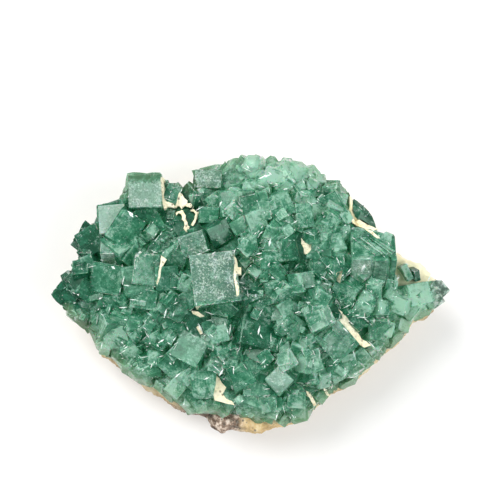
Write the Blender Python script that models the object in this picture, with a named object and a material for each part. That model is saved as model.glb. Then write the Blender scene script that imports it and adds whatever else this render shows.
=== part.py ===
"""A hand-sized fluorite specimen: green cubes grown together as one crust on a cream matrix, lying on its back.

The crust is the union of many cubes with the bed that they grew from, broken off at the rim. It sits on the
matrix, whose lumps and seams of cream clay come up between the crystals. Two crystals stand apart from the crust,
each set in the matrix. +X runs to the specimen's pointed end, +Y to its upper edge and +Z out of its crystal face.
"""

import math
import random

import bmesh
import bpy
from mathutils import Matrix, Vector, noise

# Sizes are in millimetres and angles in degrees, and MM turns them into metres.
MM = 0.001
GAP = 0.3

# Crystals and seams are placed as a camera saw them: from how far, how steeply down, at what y it looked, and the
# height at which its scale is true.
SEEN_FROM = 290.0
SEEN_STEEPLY = 85.0
SEEN_MIDDLE = 8.3
SEEN_TRUE_AT = 12.0

# The specimen's rim seen from above, anticlockwise from its right tip. Most of its corners are corners of crystals.
RIM = (
    (37.6, 0.5), (36.4, 2.3), (34.1, 4.6), (32.7, 5.9), (29.7, 6.8), (28.0, 8.3), (26.1, 10.6), (23.8, 12.3),
    (23.2, 14.0), (21.9, 16.3), (19.8, 18.3), (18.3, 19.9), (16.8, 21.5), (15.1, 21.4), (13.9, 22.5),
    (12.6, 22.4), (9.9, 25.0), (8.6, 25.9), (3.8, 25.6), (1.2, 26.7), (-1.8, 26.1), (-2.4, 25.2), (-4.7, 25.1),
    (-5.4, 24.1), (-9.8, 24.0), (-11.3, 23.2), (-10.1, 19.9), (-11.6, 20.8), (-13.3, 19.5), (-13.6, 20.5),
    (-16.6, 22.1), (-17.4, 23.0), (-23.5, 22.6), (-23.6, 20.0), (-24.8, 17.8), (-29.2, 16.9), (-29.3, 13.8),
    (-31.6, 14.0), (-34.3, 9.1), (-33.3, 5.7), (-36.0, 3.8), (-37.6, 0.5), (-35.8, -2.5), (-34.0, -5.2),
    (-31.0, -7.2), (-29.8, -10.1), (-26.0, -13.1), (-22.4, -16.3), (-18.9, -18.0), (-15.0, -20.8),
    (-11.5, -23.1), (-8.2, -22.8), (-3.0, -23.6), (3.0, -24.6), (8.4, -24.6), (9.9, -24.1), (13.3, -20.8),
    (14.9, -19.1), (19.4, -17.0), (22.8, -14.0), (26.3, -10.3), (28.4, -8.5), (30.4, -5.6), (33.3, -4.0),
    (36.9, -0.9),
)

# The rim of the matrix, which shows beyond the crystals below and at the right, with the lump at the bottom.
MATRIX_RIM = (
    (36.2, 0.4), (36.0, 2.4), (34.0, 4.6), (32.6, 5.8), (29.8, 6.6), (28.2, 7.9), (26.4, 9.9), (23.9, 12.1),
    (23.0, 13.8), (21.0, 16.2), (18.6, 18.6), (14.6, 20.4), (9.4, 22.8), (3.0, 24.2), (-3.6, 23.4),
    (-9.6, 21.4), (-14.2, 18.6), (-20.0, 20.2), (-23.2, 17.2), (-28.4, 14.4), (-31.6, 9.6), (-33.6, 4.4),
    (-35.2, 0.0), (-33.4, -5.0), (-30.6, -8.4), (-28.8, -11.6), (-25.2, -14.2), (-21.8, -17.1),
    (-17.0, -19.8), (-13.0, -22.6), (-8.6, -23.3), (-7.7, -25.2), (-6.0, -26.4), (-4.0, -25.6), (-1.9, -25.9),
    (0.3, -26.7), (2.0, -26.5), (4.0, -25.5), (8.6, -25.0), (12.8, -21.8), (15.4, -19.4), (20.4, -16.6),
    (24.0, -13.2), (28.2, -9.2), (30.8, -6.0), (34.6, -3.6),
)

# Rings of the two lofts: how far out each ring lies, as a share of the rim, and its height.
MATRIX_RINGS = ((0.54, 0.0), (0.78, 2.0), (0.94, 4.6), (1.0, 7.0), (0.965, 8.6), (0.84, 10.2), (0.56, 12.6))
MATRIX_PEAK = 14.4
MATRIX_ROUGHNESS = 0.9
BED_RINGS = ((0.955, 7.4), (0.965, 10.8), (0.91, 13.0), (0.60, 17.2))
BED_PEAK = 19.6
BED_TOP_FROM = 2

# Lumps of the matrix that no crystal covers: centre x and y, reach, and how much higher they stand.
LUMPS = (
    ((31.5, 4.8), 5.4, 4.2),
    ((22.8, 13.4), 5.0, 3.6),
    ((-4.6, -25.0), 4.6, 3.0),
    ((1.8, -25.6), 4.2, 2.2),
)
LUMP_FROM = 2.0
LUMP_FULL = 6.5

# Ground that the crust leaves to the matrix, as outlines seen from above: the right tip and the upper right edge.
BARE_GROUND = (
    ((26.7, 9.8), (26.6, 6.8), (27.3, 1.2), (30.4, 1.7), (34.2, 2.4), (36.4, 2.6), (40.0, 4.0), (36.0, 12.0)),
    ((18.8, 22.0), (18.7, 15.8), (19.3, 14.2), (20.8, 12.7), (22.6, 11.7), (24.6, 11.0), (28.0, 13.0), (26.0, 20.0)),
)

# Cream clay that shows between crystals: the outline of each seam, and how far its top stands above the bed. Those
# with no height are too small for the solids, and only keep the crystals apart.
SEAMS = (
    (((-17.3, 22.0), (-16.8, 21.9), (-16.4, 18.8), (-16.1, 17.3), (-14.4, 17.1), (-14.6, 16.4), (-16.8, 16.3),
      (-17.1, 18.6)), 1.8),
    (((-14.0, 19.4), (-13.2, 18.6), (-12.5, 17.6), (-11.3, 17.1), (-11.5, 16.4), (-12.7, 16.7), (-13.4, 16.4),
      (-14.6, 16.6), (-14.4, 17.9)), 1.8),
    (((-14.0, 16.3), (-12.9, 16.0), (-12.1, 14.4), (-11.7, 13.0), (-12.3, 11.7), (-13.1, 11.3), (-13.5, 12.1),
      (-12.9, 12.9), (-13.3, 14.8), (-14.0, 15.6)), 1.8),
    (((18.5, 18.9), (19.2, 18.3), (19.3, 15.5), (20.6, 14.1), (22.4, 12.9), (23.9, 12.2), (23.9, 11.5),
      (22.5, 11.8), (20.7, 12.8), (19.2, 14.3), (18.7, 15.8)), 1.8),
    (((9.4, 10.8), (10.9, 10.0), (11.4, 8.9), (10.7, 7.2), (9.9, 7.6), (10.1, 8.9), (9.4, 9.6)), 1.6),
    (((16.6, -2.9), (18.5, -5.6), (20.8, -7.6), (22.5, -9.7), (21.1, -10.3), (18.7, -7.1), (16.6, -5.0)), 1.6),
    (((-6.6, -14.3), (-6.2, -16.4), (-4.9, -17.3), (-4.9, -18.7), (-3.0, -21.1), (-7.2, -20.2), (-7.2, -17.9)), 1.2),
    (((9.7, -18.3), (11.4, -18.3), (13.0, -21.1), (11.0, -20.2)), 1.0),
    (((16.0, 3.9), (17.3, 4.5), (16.8, 2.0), (16.0, 2.6)), 0.0),
    (((-16.9, 7.5), (-15.9, 6.8), (-16.5, 5.8), (-17.2, 4.5), (-17.8, 1.9), (-18.1, 2.0), (-17.7, 4.9),
      (-17.2, 6.0)), 0.0),
    (((13.3, -17.5), (14.9, -19.4), (14.1, -19.8), (12.8, -17.9)), 0.0),
    (((-10.6, 15.7), (-10.0, 15.5), (-10.2, 14.6), (-11.2, 13.1), (-11.7, 13.3), (-11.0, 14.4)), 0.0),
    (((-11.5, -3.1), (-10.2, -3.3), (-8.9, -4.2), (-9.8, -4.4), (-11.2, -3.7)), 0.0),
    (((-10.2, -5.9), (-9.3, -7.5), (-9.8, -7.6), (-10.6, -6.3)), 0.0),
    (((-3.4, 7.3), (-2.8, 6.4), (-2.6, 5.0), (-2.0, 4.9), (-2.0, 3.6), (-2.8, 3.6), (-3.0, 2.6), (-2.4, 1.1),
      (-2.4, -0.4), (-2.8, -0.8), (-3.0, 0.7), (-3.4, 3.0), (-3.2, 6.0)), 0.0),
)
SEAM_FOOT = 6.2

# Crystals that show as themselves: centre x and y of the face, its width and height, its spin, how far it leans
# and towards which side (0 is +X, 90 is +Y), and how far its highest corner stands above the bed.
CRYSTALS = (
    (-7.0, 3.0, 8.4, 9.4, 7, 5, 110, 5.6),
    (-11.2, 9.4, 4.9, 4.2, 17, 12, 200, 3.8),
    (-20.3, 19.6, 6.4, 6.5, 2, 9, 90, 5.2),
    (-26.6, 14.3, 5.0, 5.4, 4, 8, 130, 4.8),
    (-30.8, 10.1, 5.2, 5.2, 28, 26, 200, 3.6),
    (-25.0, 10.6, 5.6, 5.6, 45, 32, 100, 4.4),
    (-19.9, 4.7, 4.8, 6.0, -7, 12, 0, 3.6),
    (-25.8, 6.5, 5.6, 5.0, 3, 62, 270, 2.9),
    (-23.3, 17.2, 4.2, 4.2, 35, 22, 270, 3.0),
    (-20.3, 13.4, 6.2, 6.0, 30, 14, 290, 2.9),
    (-31.9, 4.5, 5.0, 5.0, 20, 24, 180, 2.9),
    (-20.6, -1.0, 5.0, 3.8, -8, 20, 230, 3.2),
    (-16.0, 2.9, 4.4, 4.6, 4, 10, 330, 3.0),
    (-14.6, -2.4, 4.8, 4.6, -33, 22, 300, 2.8),
    (-11.6, -0.8, 3.8, 3.6, 40, 22, 240, 2.9),
    (2.0, -6.3, 8.0, 7.6, -12, 30, 20, 4.0),
    (-11.8, -10.3, 5.6, 5.4, -28, 16, 120, 3.4),
    (-8.9, -16.4, 5.0, 6.6, 2, 12, 180, 3.0),
    (-14.8, -13.6, 4.6, 4.6, 42, 16, 250, 3.3),
    (-25.9, -8.4, 5.0, 4.2, 12, 26, 250, 3.0),
    (-19.4, -13.9, 4.3, 4.0, 5, 15, 240, 2.8),
    (-11.9, -20.0, 4.6, 4.4, 40, 14, 240, 2.4),
    (-1.9, -15.4, 4.2, 4.4, 24, 12, 80, 3.2),
    (5.2, -16.2, 3.7, 3.9, 44, 8, 90, 3.7),
    (6.6, -12.5, 3.4, 3.4, 30, 10, 60, 3.3),
    (16.2, -9.0, 5.6, 6.4, 40, 9, 270, 3.7),
    (12.6, -4.0, 5.0, 5.0, 24, 14, 130, 3.5),
    (8.3, 2.0, 2.8, 3.6, 6, 18, 200, 3.3),
    (10.8, 2.7, 2.2, 3.0, 10, 10, 30, 3.0),
    (6.8, 9.0, 4.4, 5.2, 8, 24, 20, 3.3),
    (15.6, 9.6, 4.0, 3.8, 20, 20, 110, 3.2),
    (23.2, 3.8, 8.4, 8.4, -2, 49, 270, 5.4),
    (16.4, 17.8, 3.4, 3.6, -18, 14, 60, 3.0),
    (18.2, 14.6, 2.0, 2.4, 30, 16, 60, 2.7),
    (0.8, 16.3, 5.2, 5.4, 14, 10, 250, 3.2),
    (5.4, 16.7, 4.8, 4.6, 24, 14, 300, 2.9),
    (-0.6, 9.0, 3.4, 3.6, 12, 10, 270, 3.2),
    (-8.2, 14.9, 3.8, 3.0, -3, 12, 270, 3.2),
    (-6.0, 11.5, 4.2, 4.2, 28, 26, 320, 3.2),
    (-8.3, 22.0, 5.0, 3.6, -2, 26, 90, 2.8),
    (-15.1, 19.2, 2.8, 3.6, -20, 14, 90, 3.3),
    (-11.6, 18.4, 2.8, 3.2, 42, 18, 90, 2.9),
    (10.2, 15.0, 3.2, 4.6, 8, 20, 30, 3.2),
    (32.0, 0.1, 4.6, 4.2, 14, 20, 20, 2.7),
    (29.8, -2.4, 4.0, 4.0, 50, 22, 200, 2.6),
    (34.6, -1.2, 3.2, 3.2, 38, 20, 300, 1.6),
    (-27.6, 2.9, 6.2, 5.6, -10, 16, 200, 3.0),
    (-33.6, 1.6, 4.6, 5.0, 42, 18, 180, 2.4),
    (24.2, -6.8, 4.2, 4.0, 5, 12, 250, 3.2),
    (20.3, -4.6, 3.6, 3.6, -42, 18, 30, 3.0),
    (16.5, -14.8, 3.6, 3.6, 32, 12, 310, 2.6),
    (20.4, -12.6, 4.2, 3.6, 38, 12, 300, 2.6),
    (8.2, -20.6, 4.6, 4.4, -30, 12, 280, 2.4),
    (3.0, -20.8, 3.4, 3.2, 4, 14, 270, 2.4),
    (11.2, -13.0, 4.2, 4.2, 18, 14, 330, 3.2),
)


# Crystals whose corner is a corner of the rim: that corner, the way it points, and the crystal's size.
RIM_CRYSTALS = (
    (37.6, 0.4, -5, 3.4), (33.6, -3.8, -50, 3.2), (29.8, -6.2, -40, 3.6), (26.6, -10.0, -45, 3.8),
    (22.8, -14.1, -35, 3.4), (19.4, -17.0, -55, 3.6), (13.2, -20.9, -45, 3.4), (9.8, -24.1, -60, 3.6),
    (6.0, -24.6, -92, 3.0), (-11.4, -23.2, 255, 4.6), (-15.6, -20.4, 225, 3.8), (-19.2, -18.0, 235, 3.6),
    (-22.6, -16.2, 230, 3.6), (-26.4, -12.8, 230, 3.4), (-29.9, -10.0, 205, 4.2), (-32.0, -6.4, 225, 3.0),
    (-35.8, -3.0, 205, 3.6), (-37.6, 0.5, 178, 5.2), (-34.4, 9.1, 190, 4.6), (-31.6, 14.0, 95, 4.4),
    (-29.4, 17.0, 135, 4.2), (-25.0, 17.9, 60, 2.8), (-23.6, 22.7, 135, 5.0), (-17.2, 23.0, 45, 4.6),
    (-15.8, 21.7, 50, 2.4), (-13.5, 20.5, 55, 2.4), (-11.4, 23.4, 140, 3.6), (-5.2, 24.2, 50, 3.0),
    (-4.8, 25.2, 135, 2.6), (-1.8, 26.3, 130, 2.6), (1.3, 26.8, 72, 3.0), (3.8, 25.7, 100, 2.8),
    (8.7, 26.0, 80, 3.6), (11.0, 23.8, 40, 2.6), (13.9, 22.6, 60, 2.8), (16.9, 21.5, 45, 3.2),
)
RIM_CRYSTAL_TOP = 13.4
RIM_CRYSTAL_DEPTH = 1.15

# The broken side that the crust is trimmed to: rings as a share of the rim, with their heights.
TRIM_RINGS = ((0.95, 5.0), (1.0, 11.5), (1.0, 17.0), (0.95, 26.0))

# The smaller crystals that fill the bed between them: seeded places, sizes, leans and heights.
FILL_SEED = 11
FILL_SPACING = 3.4
FILL_SIZES = (3.2, 7.0)
FILL_LEAN_COSINE = 0.62
FILL_RISE = (1.0, 1.9)
FILL_RISE_BY_SIZE = 0.16
FILL_SWELL = 0.9
FILL_SHARE = 0.96
FILL_INSIDE_RIM = 0.46
FILL_CLEAR_OF_CRYSTAL = 0.42

# Colours as red, green and blue shares.
CLAY_COLOUR = (0.80, 0.70, 0.48)
FLUORITE_COLOUR = (0.10, 0.42, 0.26)

# The dark crystal at the upper right edge: its outline, foot, the heights of its shoulder and its low peak.
EDGE_OUTLINE = (
    (19.3, 17.9), (20.6, 17.8), (21.9, 16.4), (23.1, 14.4), (23.8, 12.3), (22.4, 13.1), (20.8, 14.2), (19.4, 15.5),
)
EDGE_FOOT = 9.0
EDGE_TOPS = (13.6, 14.0, 14.3, 14.0, 13.2, 14.2, 15.2, 14.9)
EDGE_PEAK = (21.0, 15.3, 15.4)

# The prism at the tip: its face centre, width, height, depth, spin, lean and its side.
TIP_CRYSTAL = ((29.1, 3.9, 15.0), (1.6, 3.2, 4.4), 28, 10, 60)


def outline_radius(angle):
    """Distance from the middle to the rim along a direction, in radians."""
    along = Vector((math.cos(angle), math.sin(angle)))
    farthest = 0.0
    for first, second in zip(RIM, RIM[1:] + RIM[:1]):
        start = Vector(first)
        edge = Vector(second) - start
        across = along.cross(edge)
        if abs(across) < 1e-9:
            continue
        reach = start.cross(edge) / across
        share = start.cross(along) / across
        if reach > 0 and -1e-9 <= share <= 1 + 1e-9:
            farthest = max(farthest, reach)
    return farthest


def rim_share(x, y):
    """How far out a place lies, from 0 in the middle to 1 at the rim."""
    return math.hypot(x, y) / outline_radius(math.atan2(y, x))


def bed_height(x, y):
    """Height of the bed's top at a place, from the loft's own rings."""
    share = rim_share(x, y)
    rings = BED_RINGS[BED_TOP_FROM:] + ((0.0, BED_PEAK),)
    if share >= rings[0][0]:
        return rings[0][1]
    for (outer, low), (inner, high) in zip(rings, rings[1:]):
        if share >= inner:
            return low + (high - low) * (outer - share) / (outer - inner)
    return BED_PEAK


def seen_at(x, y, above):
    """Where a place that the photo shows lies, for what stands a height above the bed: the camera saw it larger."""
    higher = bed_height(x, y) + above - SEEN_TRUE_AT
    share = 1 - higher / SEEN_FROM
    middle = SEEN_MIDDLE
    return x * share, middle + (y - middle) * share - higher / math.tan(math.radians(SEEN_STEEPLY))


def inside(x, y, outline):
    """Whether a place lies inside an outline."""
    found = False
    for (x1, y1), (x2, y2) in zip(outline, outline[1:] + outline[:1]):
        if (y1 > y) != (y2 > y) and x < (x2 - x1) * (y - y1) / (y2 - y1) + x1:
            found = not found
    return found


def from_seam(x, y):
    """Distance from a place to the nearest seam of clay, 0 inside one."""
    near = 99.0
    place = Vector((x, y))
    for outline, _ in PLACED_SEAMS:
        if inside(x, y, outline):
            return 0.0
        for first, second in zip(outline, outline[1:] + outline[:1]):
            start = Vector(first)
            along = Vector(second) - start
            step = max(0.0, min(1.0, (place - start).dot(along) / along.length_squared))
            near = min(near, (place - start - along * step).length)
    return near


PLACED_SEAMS = tuple((tuple(seen_at(x, y, 2.5) for x, y in outline), rise) for outline, rise in SEAMS)
PLACED_CRYSTALS = tuple((*seen_at(row[0], row[1], row[7]), *row[2:]) for row in CRYSTALS)
PLACED_EDGE = tuple(seen_at(x, y, 1.5) for x, y in EDGE_OUTLINE)


def to_object(name, work):
    """The bmesh as an object, its faces turned outwards."""
    bmesh.ops.recalc_face_normals(work, faces=work.faces)
    mesh = bpy.data.meshes.new(name)
    work.to_mesh(mesh)
    work.free()
    made = bpy.data.objects.new(name, mesh)
    bpy.context.scene.collection.objects.link(made)
    return made


def lump_at(x, y, height):
    """How much higher the lumps push the matrix at a place of its lofted surface."""
    share = max(0.0, min(1.0, (height - LUMP_FROM) / (LUMP_FULL - LUMP_FROM)))
    return sum(rise * share * math.exp(-((x - a) ** 2 + (y - b) ** 2) / reach ** 2) for (a, b), reach, rise in LUMPS)


def loft(name, rim, rings, peak, grow=0.0, roughness=0.0):
    """A closed body through copies of a rim, flat below and pointed above. grow swells it all round."""
    work = bmesh.new()
    levels = []
    for share, height in rings:
        level = []
        for x, y in rim:
            place = Vector((x, y)) * share
            rough = roughness * noise.noise(Vector((x * 0.19, y * 0.19, height * 0.4))) if height > 0 else 0.0
            higher = lump_at(place.x, place.y, height) if roughness else 0.0
            place += place.normalized() * rough * 0.5
            up = height + rough + higher
            level.append(work.verts.new((place.x * MM, place.y * MM, up * MM)))
        levels.append(level)
    count = len(rim)
    for lower, upper in zip(levels, levels[1:]):
        for i in range(count):
            j = (i + 1) % count
            work.faces.new((lower[i], lower[j], upper[j]))
            work.faces.new((lower[i], upper[j], upper[i]))
    work.faces.new(list(reversed(levels[0])))
    top = work.verts.new((0.0, 0.0, peak * MM))
    for i in range(count):
        work.faces.new((levels[-1][i], levels[-1][(i + 1) % count], top))
    if grow:
        bmesh.ops.recalc_face_normals(work, faces=work.faces)
        work.normal_update()
        moves = [vert.normal * min(vert.calc_shell_factor(), 1.8) * grow * MM for vert in work.verts]
        for vert, move in zip(work.verts, moves):
            vert.co += move
    return to_object(name, work)


def widened(outline, grow):
    """An outline that runs anticlockwise or clockwise, moved out by a distance all round."""
    area = sum(a[0] * b[1] - b[0] * a[1] for a, b in zip(outline, outline[1:] + outline[:1]))
    turned = 1.0 if area > 0 else -1.0
    found = []
    for i, point in enumerate(outline):
        before = (Vector(point) - Vector(outline[i - 1])).normalized()
        after = (Vector(outline[(i + 1) % len(outline)]) - Vector(point)).normalized()
        first = Vector((before.y, -before.x)) * turned
        second = Vector((after.y, -after.x)) * turned
        if first.dot(second) > 0.3 or before.cross(after) * turned < 0:
            out = (first + second) / max(1 + first.dot(second), 0.1)
            found.append(tuple(Vector(point) + out * grow))
            continue
        past = math.tan(first.angle(second) / 4)
        found.append(tuple(Vector(point) + (first + before * past) * grow))
        found.append(tuple(Vector(point) + (second - after * past) * grow))
    return tuple(found)


def add_prism(work, outline, low, high):
    """A straight-sided prism over an outline, added to the bmesh."""
    bottom = [work.verts.new((x * MM, y * MM, low * MM)) for x, y in outline]
    top = [work.verts.new((x * MM, y * MM, high * MM)) for x, y in outline]
    work.faces.new(list(reversed(bottom)))
    work.faces.new(top)
    for i in range(len(outline)):
        j = (i + 1) % len(outline)
        work.faces.new((bottom[i], bottom[j], top[j], top[i]))


def turning(spin, lean, side):
    """The turn of a crystal: its spin about its own face, then its lean towards a side."""
    way = math.radians(side)
    axis = Vector((-math.sin(way), math.cos(way), 0.0))
    return Matrix.Rotation(math.radians(lean), 4, axis) @ Matrix.Rotation(math.radians(spin), 4, "Z")


def add_box(work, face, size, turn):
    """A crystal whose upper face is centred on a place, added to the bmesh."""
    made = bmesh.ops.create_cube(work, size=1.0)["verts"]
    shape = Matrix.Diagonal((size[0] * MM, size[1] * MM, size[2] * MM, 1.0))
    drop = Matrix.Translation((0.0, 0.0, -size[2] * MM / 2))
    bmesh.ops.transform(work, matrix=Matrix.Translation(face * MM) @ turn @ drop @ shape, verts=made)


def add_crystal(work, x, y, width, height, spin, lean, side, rise):
    """A crystal on the bed with its highest corner a given rise above it, added to the bmesh."""
    turn = turning(spin, lean, side)
    corners = [turn @ Vector((a * width / 2, b * height / 2, 0.0)) for a in (-1, 1) for b in (-1, 1)]
    above = max(corner.z for corner in corners)
    face = Vector((x, y, bed_height(x, y) + rise - above))
    depth = max(width, height) * 1.05
    add_box(work, face, (width, height, depth), turn)


def clearance(x, y):
    """How near a place is to a named crystal or a seam, below 0 where it lies in one."""
    near = from_seam(x, y) - 0.8
    for a, b, width, height, *_ in PLACED_CRYSTALS:
        near = min(near, math.hypot(x - a, y - b) - max(width, height) * FILL_CLEAR_OF_CRYSTAL)
    return near


def fill_crystals(work):
    """The seeded smaller crystals over the rest of the bed, added to the bmesh."""
    dice = random.Random(FILL_SEED)
    rows = int(54 / FILL_SPACING)
    columns = int(76 / FILL_SPACING)
    for row in range(-rows // 2, rows // 2 + 1):
        for column in range(-columns // 2, columns // 2 + 1):
            x = (column + 0.5 * (row % 2) + dice.uniform(-0.3, 0.3)) * FILL_SPACING
            y = (row + dice.uniform(-0.3, 0.3)) * FILL_SPACING * 0.9
            size = FILL_SIZES[0] + (FILL_SIZES[1] - FILL_SIZES[0]) * dice.random() ** 1.5
            spin = dice.uniform(0, 90)
            lean = math.degrees(math.acos(1 - (1 - FILL_LEAN_COSINE) * dice.random()))
            side = dice.uniform(0, 360)
            rise = size * FILL_RISE_BY_SIZE + dice.uniform(*FILL_RISE)
            rise += FILL_SWELL * noise.noise(Vector((x * 0.13, y * 0.13, 0.5)))
            to_rim = (1 / max(rim_share(x, y), 0.01) - 1) * math.hypot(x, y)
            size = max(FILL_SIZES[0] * 0.8, min(size, to_rim / FILL_INSIDE_RIM))
            if rim_share(x, y) > FILL_SHARE or clearance(x, y) < 0.0:
                continue
            if any(inside(x, y, ground) for ground in BARE_GROUND):
                continue
            add_crystal(work, x, y, size, size * 1.03, spin, lean, side, rise)


def combine(target, other, operation, own_overlaps=False):
    """The Boolean result of two objects as a new mesh on the first one."""
    step = target.modifiers.new(operation.lower(), "BOOLEAN")
    step.operation = operation
    step.solver = "EXACT"
    step.use_self = own_overlaps
    step.object = other
    bpy.context.view_layer.update()
    view = target.evaluated_get(bpy.context.evaluated_depsgraph_get())
    mesh = bpy.data.meshes.new_from_object(view)
    target.modifiers.clear()
    target.data = mesh


def join_into(target, other, operation, own_overlaps=False):
    """Combines an object into the first one and takes it out of the scene."""
    combine(target, other, operation, own_overlaps)
    bpy.data.objects.remove(other)


def keep_outer_shell(target):
    """Leaves the body with the widest reach and drops pockets closed in between crystals."""
    work = bmesh.new()
    work.from_mesh(target.data)
    unseen = set(work.faces)
    shells = []
    while unseen:
        shell = [unseen.pop()]
        for face in shell:
            for edge in face.edges:
                for other in edge.link_faces:
                    if other in unseen:
                        unseen.remove(other)
                        shell.append(other)
        shells.append(shell)
    shells.sort(key=len)
    for shell in shells[:-1]:
        bmesh.ops.delete(work, geom=shell, context="FACES")
    work.to_mesh(target.data)
    work.free()


def material(name, colour, roughness, transmission=0.0):
    """A plain surface of one colour, see-through where transmission is set."""
    made = bpy.data.materials.new(name)
    made.use_nodes = True
    shader = made.node_tree.nodes["Principled BSDF"]
    shader.inputs["Base Color"].default_value = (*colour, 1.0)
    shader.inputs["Roughness"].default_value = roughness
    shader.inputs["Metallic"].default_value = 0.0
    shader.inputs["Transmission Weight"].default_value = transmission
    shader.inputs["IOR"].default_value = 1.434
    return made


def matrix_body(name, grow):
    """The matrix without its seams, swollen by grow where it is to cut a gap."""
    return loft(name, MATRIX_RIM, MATRIX_RINGS, MATRIX_PEAK, grow, MATRIX_ROUGHNESS)


def build_matrix(name):
    """The matrix with its seams of clay."""
    body = matrix_body(name, 0.0)
    for outline, rise in PLACED_SEAMS:
        if rise:
            work = bmesh.new()
            top = min(bed_height(x, y) for x, y in outline) + rise
            add_prism(work, outline, SEAM_FOOT, top)
            join_into(body, to_object("seam", work), "UNION")
    return body


def all_crystals():
    """Every crystal of the crust in one object: the named ones, those at the rim and those between."""
    work = bmesh.new()
    for x, y, width, height, spin, lean, side, rise in PLACED_CRYSTALS:
        add_crystal(work, x, y, width, height, spin, lean, side, rise)
    dice = random.Random(FILL_SEED + 1)
    for x, y, way, size in RIM_CRYSTALS:
        inward = Vector((math.cos(math.radians(way)), math.sin(math.radians(way)))) * size / math.sqrt(2)
        face = Vector((x - inward.x, y - inward.y, RIM_CRYSTAL_TOP + dice.uniform(-0.8, 0.8)))
        turn = turning(way + 45 + dice.uniform(-6, 6), dice.uniform(2, 14), way + dice.uniform(-60, 60))
        add_box(work, face, (size, size, size * RIM_CRYSTAL_DEPTH), turn)
    fill_crystals(work)
    return to_object("crystals", work)


def rim_body():
    """The room inside the rim. What grows past it is broken off."""
    work = bmesh.new()
    levels = []
    for share, height in TRIM_RINGS:
        levels.append([work.verts.new((x * share * MM, y * share * MM, height * MM)) for x, y in RIM])
    count = len(RIM)
    for lower, upper in zip(levels, levels[1:]):
        for i in range(count):
            j = (i + 1) % count
            work.faces.new((lower[i], lower[j], upper[j], upper[i]))
    work.faces.new(list(reversed(levels[0])))
    work.faces.new(levels[-1])
    return to_object("rim", work)


def cut_to_clay(made, swollen):
    """Leaves a gap between crystals and the clay below and beside them."""
    combine(made, swollen, "DIFFERENCE")
    for outline, rise in PLACED_SEAMS:
        if rise:
            work = bmesh.new()
            add_prism(work, widened(outline, GAP), SEAM_FOOT - GAP, 40.0)
            join_into(made, to_object("trench", work), "DIFFERENCE")
    return made


def build_edge_crystal(swollen):
    """The dark crystal that a seam parts from the crust."""
    work = bmesh.new()
    bottom = [work.verts.new((x * MM, y * MM, EDGE_FOOT * MM)) for x, y in PLACED_EDGE]
    top = [work.verts.new((x * MM, y * MM, z * MM)) for (x, y), z in zip(PLACED_EDGE, EDGE_TOPS)]
    peak = work.verts.new([value * MM for value in EDGE_PEAK])
    work.faces.new(list(reversed(bottom)))
    for i in range(len(PLACED_EDGE)):
        j = (i + 1) % len(PLACED_EDGE)
        work.faces.new((bottom[i], bottom[j], top[j], top[i]))
        work.faces.new((top[i], top[j], peak))
    made = cut_to_clay(to_object("edge_crystal", work), swollen)
    keep_outer_shell(made)
    return made


def build_tip_crystal(swollen):
    """The small prism in the clay of the tip."""
    face, size, spin, lean, side = TIP_CRYSTAL
    work = bmesh.new()
    add_box(work, Vector(face), size, turning(spin, lean, side))
    made = to_object("tip_crystal", work)
    combine(made, swollen, "DIFFERENCE")
    keep_outer_shell(made)
    return made


def main():
    for old in list(bpy.data.objects):
        bpy.data.objects.remove(old)

    matrix = build_matrix("matrix")
    swollen = matrix_body("matrix_with_gap", GAP)

    crust = loft("fluorite_crystals", RIM, BED_RINGS, BED_PEAK)
    join_into(crust, all_crystals(), "UNION", own_overlaps=True)
    join_into(crust, rim_body(), "INTERSECT")
    cut_to_clay(crust, swollen)
    for ground in BARE_GROUND:
        work = bmesh.new()
        add_prism(work, ground, 0.0, 40.0)
        join_into(crust, to_object("bare_ground", work), "DIFFERENCE")
    keep_outer_shell(crust)

    edge = build_edge_crystal(swollen)
    tip = build_tip_crystal(swollen)
    bpy.data.objects.remove(swollen)

    pieces = (matrix, crust, edge, tip)
    places = [vert.co for piece in pieces for vert in piece.data.vertices]
    low = Vector(min(place[i] for place in places) for i in range(3))
    high = Vector(max(place[i] for place in places) for i in range(3))
    home = Matrix.Translation((-(low.x + high.x) / 2, -(low.y + high.y) / 2, -low.z))

    group = bpy.data.collections.new("fluorite_specimen")
    bpy.context.scene.collection.children.link(group)
    clay = material("cream_clay", CLAY_COLOUR, 0.9)
    green = material("green_fluorite", FLUORITE_COLOUR, 0.25, 0.6)
    for piece, surface in zip(pieces, (clay, green, green, green)):
        piece.data.transform(home)
        piece.data.materials.clear()
        piece.data.materials.append(surface)
        for face in piece.data.polygons:
            face.material_index = 0
            face.use_smooth = False
        bpy.context.scene.collection.objects.unlink(piece)
        group.objects.link(piece)


main()
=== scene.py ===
"""Looks of the green fluorite specimen: chamfered, stepped and frosted cubes on a clay matrix."""

import itertools
import math
import random

import bmesh
import bpy
import numpy as np
from mathutils import Matrix, Vector, noise
from mathutils.bvhtree import BVHTree


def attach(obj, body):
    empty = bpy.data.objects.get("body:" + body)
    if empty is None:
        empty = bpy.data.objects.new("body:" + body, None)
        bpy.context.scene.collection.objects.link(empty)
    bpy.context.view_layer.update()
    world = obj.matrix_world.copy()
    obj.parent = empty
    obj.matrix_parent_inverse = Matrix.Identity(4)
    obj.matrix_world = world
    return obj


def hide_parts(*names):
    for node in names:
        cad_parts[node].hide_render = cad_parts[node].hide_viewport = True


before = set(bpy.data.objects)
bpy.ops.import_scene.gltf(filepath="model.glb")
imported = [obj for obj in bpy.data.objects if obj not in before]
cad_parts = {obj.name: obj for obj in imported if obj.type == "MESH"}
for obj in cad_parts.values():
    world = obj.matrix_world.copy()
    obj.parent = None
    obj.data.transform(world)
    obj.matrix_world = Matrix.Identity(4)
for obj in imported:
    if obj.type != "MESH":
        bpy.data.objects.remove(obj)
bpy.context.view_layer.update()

# Lengths are in millimetres and angles in degrees. MM turns them into metres.
MM = 0.001

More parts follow.
